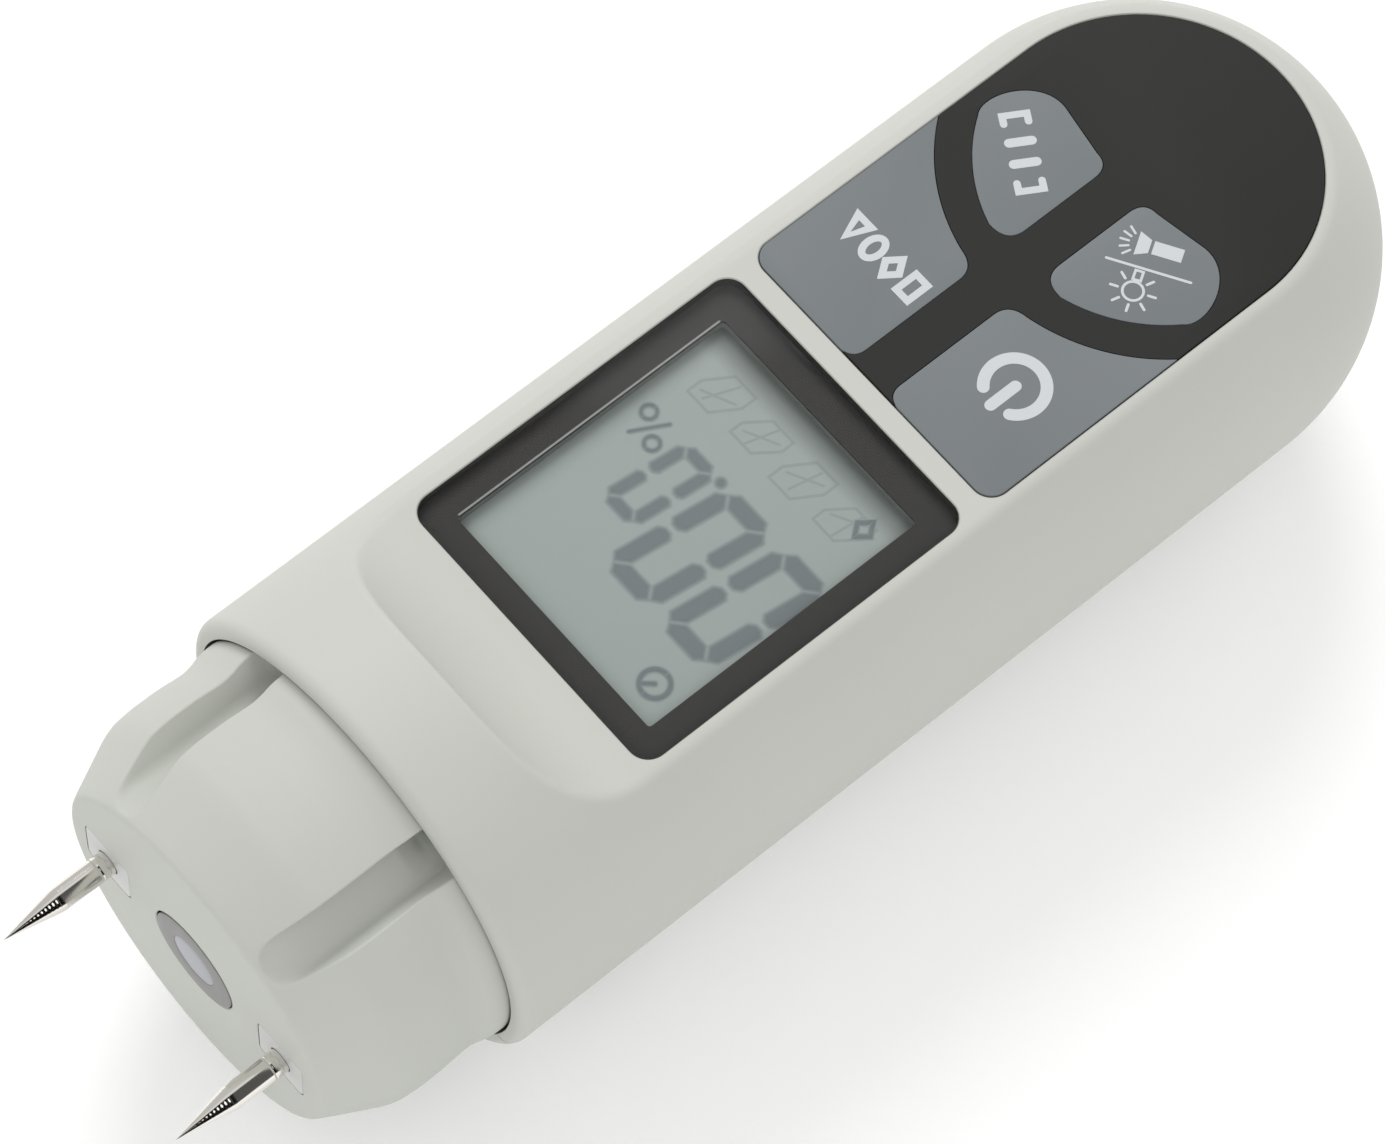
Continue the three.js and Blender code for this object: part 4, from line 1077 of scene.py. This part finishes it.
# the hold key carries two bars between brackets, written aslant
bracket = [(3.2, 1.2), (4.1, 1.2), (4.1, -1.2), (3.2, -1.2)]
hold_row = [stroke([(u * side, v) for u, v in bracket], 0.72) for side in (1, -1)]
hold_row += [stroke([(u, 1.1), (u, -1.1)], 0.95) for u in (-1.15, 1.15)]
printed("hold", read_along(hold_row, -106.95, -8.7, 30.5))

# the light key carries a bulb with rays and a torch with rays, a line between them
BULB, THIN, TORCH_TURN = (-105.05, 8.8), 0.27, 31.5
light_signs = circle(*BULB, 1.0, 0.26)
bulb_foot = outlined([(-0.38, 0), (0.38, 0), (0.38, 1), (-0.38, 1)], 0.26)
light_signs += read_along(bulb_foot, -106.95, 7.65, -31)
light_signs += rays(*BULB, range(-14, 300, 45), 1.5, 2.2, THIN)
light_signs.append(stroke([(-105.5, 4.6), (-109.8, 11.6)], THIN))
light_signs += read_along([
    [(-1.45, -0.72), (1.45, -0.72), (1.45, 0.72), (-1.45, 0.72)],
    [(1.75, -0.72), (3.0, -1.3), (3.0, 1.3), (1.75, 0.72)],
], -110.35, 7.85, -TORCH_TURN)
light_signs += rays(-109.05, 5.75, [TORCH_TURN - fan for fan in (-44, -22, 0, 22, 44)], 1.35, 2.15, 0.24)
printed("light", light_signs)


# ---- fasteners and battery

def case_screw(x, y, seat):
    """A pan-head screw standing on its head, with a cross recess."""
    head, neck, top, r, thread = seat - 2.1, seat - 0.1, -1.0, 2.6, 1.15
    profile = [(head, 0), (head, 1.1), (head + 0.12, 1.8), (head + 0.45, 2.35), (head + 0.9, r), (neck, r),
               (neck, thread), (top - 1, thread), (top, 0.3), (top, 0)]
    made = turned("screw", profile, x, y, PIN_SIDES, axis="z")
    arm, slit, deep = 1.5, 0.32, 1.2
    return carve(made, [block(x - a, x + a, y - b, y + b, head - 1, head + deep)
                        for a, b in ((arm, slit), (slit, arm))])


for number, (x, y, seat, _) in enumerate(SCREWS, 1):
    made = case_screw(x, y, seat)
    finished(made, f"screw_{number}", STEEL, replaces=[f"case_screw_{number}"])


def cell():
    """A 9 V block: a jacket rolled over at both ends."""
    c = CELL
    section = rounded_rectangle(-c.half, c.half, c.bottom, c.bottom + c.height, c.corner, 8)
    front, rear = c.rear + c.length, c.rear
    rolled = [(0, 1.0), (0, 0.35), (0.35, 0), (1.2, 0), (1.35, 0.12)]
    levels = [(rear + step, inwards) for step, inwards in rolled]
    levels += [(front - step, inwards) for step, inwards in rolled[::-1]]
    return loft_along_x(section, levels)


finished(cell(), "battery_block", JACKET, replaces=["battery"])


# ---- floor, light and camera

FLOOR = 6
LIT_POINT = (0, 0, 0.02)


def floor_sheet():
    sheet = bpy.data.meshes.new("floor")
    corners = [(-FLOOR, -FLOOR, 0), (FLOOR, -FLOOR, 0), (FLOOR, FLOOR, 0), (-FLOOR, FLOOR, 0)]
    sheet.from_pydata(corners, [], [(0, 1, 2, 3)])
    made = bpy.data.objects.new("floor", sheet)
    scene.collection.objects.link(made)
    sheet.materials.append(material("floor_table", (0.94, 0.94, 0.94), 0.9, grain=400, bump=0.02, tint=0.004,
                                    Emission_Color=(1, 1, 1, 1), Emission_Strength=0.12))


def area_light(name, place, size, watts):
    """A round soft light that looks at the middle of the meter."""
    lamp = bpy.data.lights.new(name, "AREA")
    lamp.shape = "DISK"
    lamp.size = size
    lamp.energy = watts
    made = bpy.data.objects.new(name, lamp)
    made.location = place
    made.rotation_euler = (Vector(LIT_POINT) - Vector(place)).to_track_quat("-Z", "Y").to_euler()
    scene.collection.objects.link(made)


floor_sheet()
area_light("key_light", (-0.62, -0.85, 1.0), 0.7, 8.0)
area_light("front_light", (0.7, 0.5, 0.9), 0.8, 2.0)


SURROUND = 0.78
# each card: an axis, where its edge fades between, and its strength at both ends of the fade
DARK_CARD = (("Y", -0.1, 0.02, 0, 1), ("Z", -0.04, 0.06, 0, 1), ("X", -0.28, -0.02, 0.85, 1))
GREY_CARD = (("Y", -0.45, -0.3, 0.25, 0), ("Z", 0.05, 0.15, 0, 1))


def studio():
    """A white surround; reflections also find a dark card on one side and a grey one on the other."""
    made = bpy.data.worlds.new("studio")
    made.use_nodes = True
    tree = made.node_tree
    split = added(tree, "SeparateXYZ")
    tree.links.new(added(tree, "TexCoord").outputs["Generated"], split.inputs["Vector"])

    def card(edges):
        total = 1.0
        for axis, start, end, low, high in edges:
            fade = carried_over(tree, split.outputs[axis], (start, end), (low, high), smooth=True)
            total = calculated(tree, "MULTIPLY", total, fade)
        return total

    both = calculated(tree, "ADD", card(DARK_CARD), card(GREY_CARD))
    ray = added(tree, "LightPath")
    seen = calculated(tree, "MULTIPLY", both, ray.outputs["Is Glossy Ray"])
    left = calculated(tree, "MULTIPLY_ADD", seen, -SURROUND, SURROUND)
    tree.links.new(left, tree.nodes["Background"].inputs["Strength"])
    tree.nodes["Background"].inputs["Color"].default_value = (1, 1, 1, 1)
    return made


scene.world = studio()
scene.view_settings.view_transform = "Standard"

# the camera's place and lens, and its axes to the right, upwards and backwards
CAMERA_PLACE, CAMERA_LENS, CAMERA_SENSOR = (0.18077, 0.1788, 0.5543), 163.1, 36
CAMERA_AXES = ((-0.7599, 0.6491, 0.0345), (-0.5755, -0.6965, 0.4285), (0.3022, 0.3057, 0.9029))

camera = bpy.data.objects.new("camera", bpy.data.cameras.new("camera"))
camera.data.lens = CAMERA_LENS
camera.data.sensor_width = CAMERA_SENSOR
camera.matrix_world = Matrix.Translation(CAMERA_PLACE) @ Matrix(CAMERA_AXES).transposed().to_4x4()
scene.collection.objects.link(camera)
scene.camera = camera
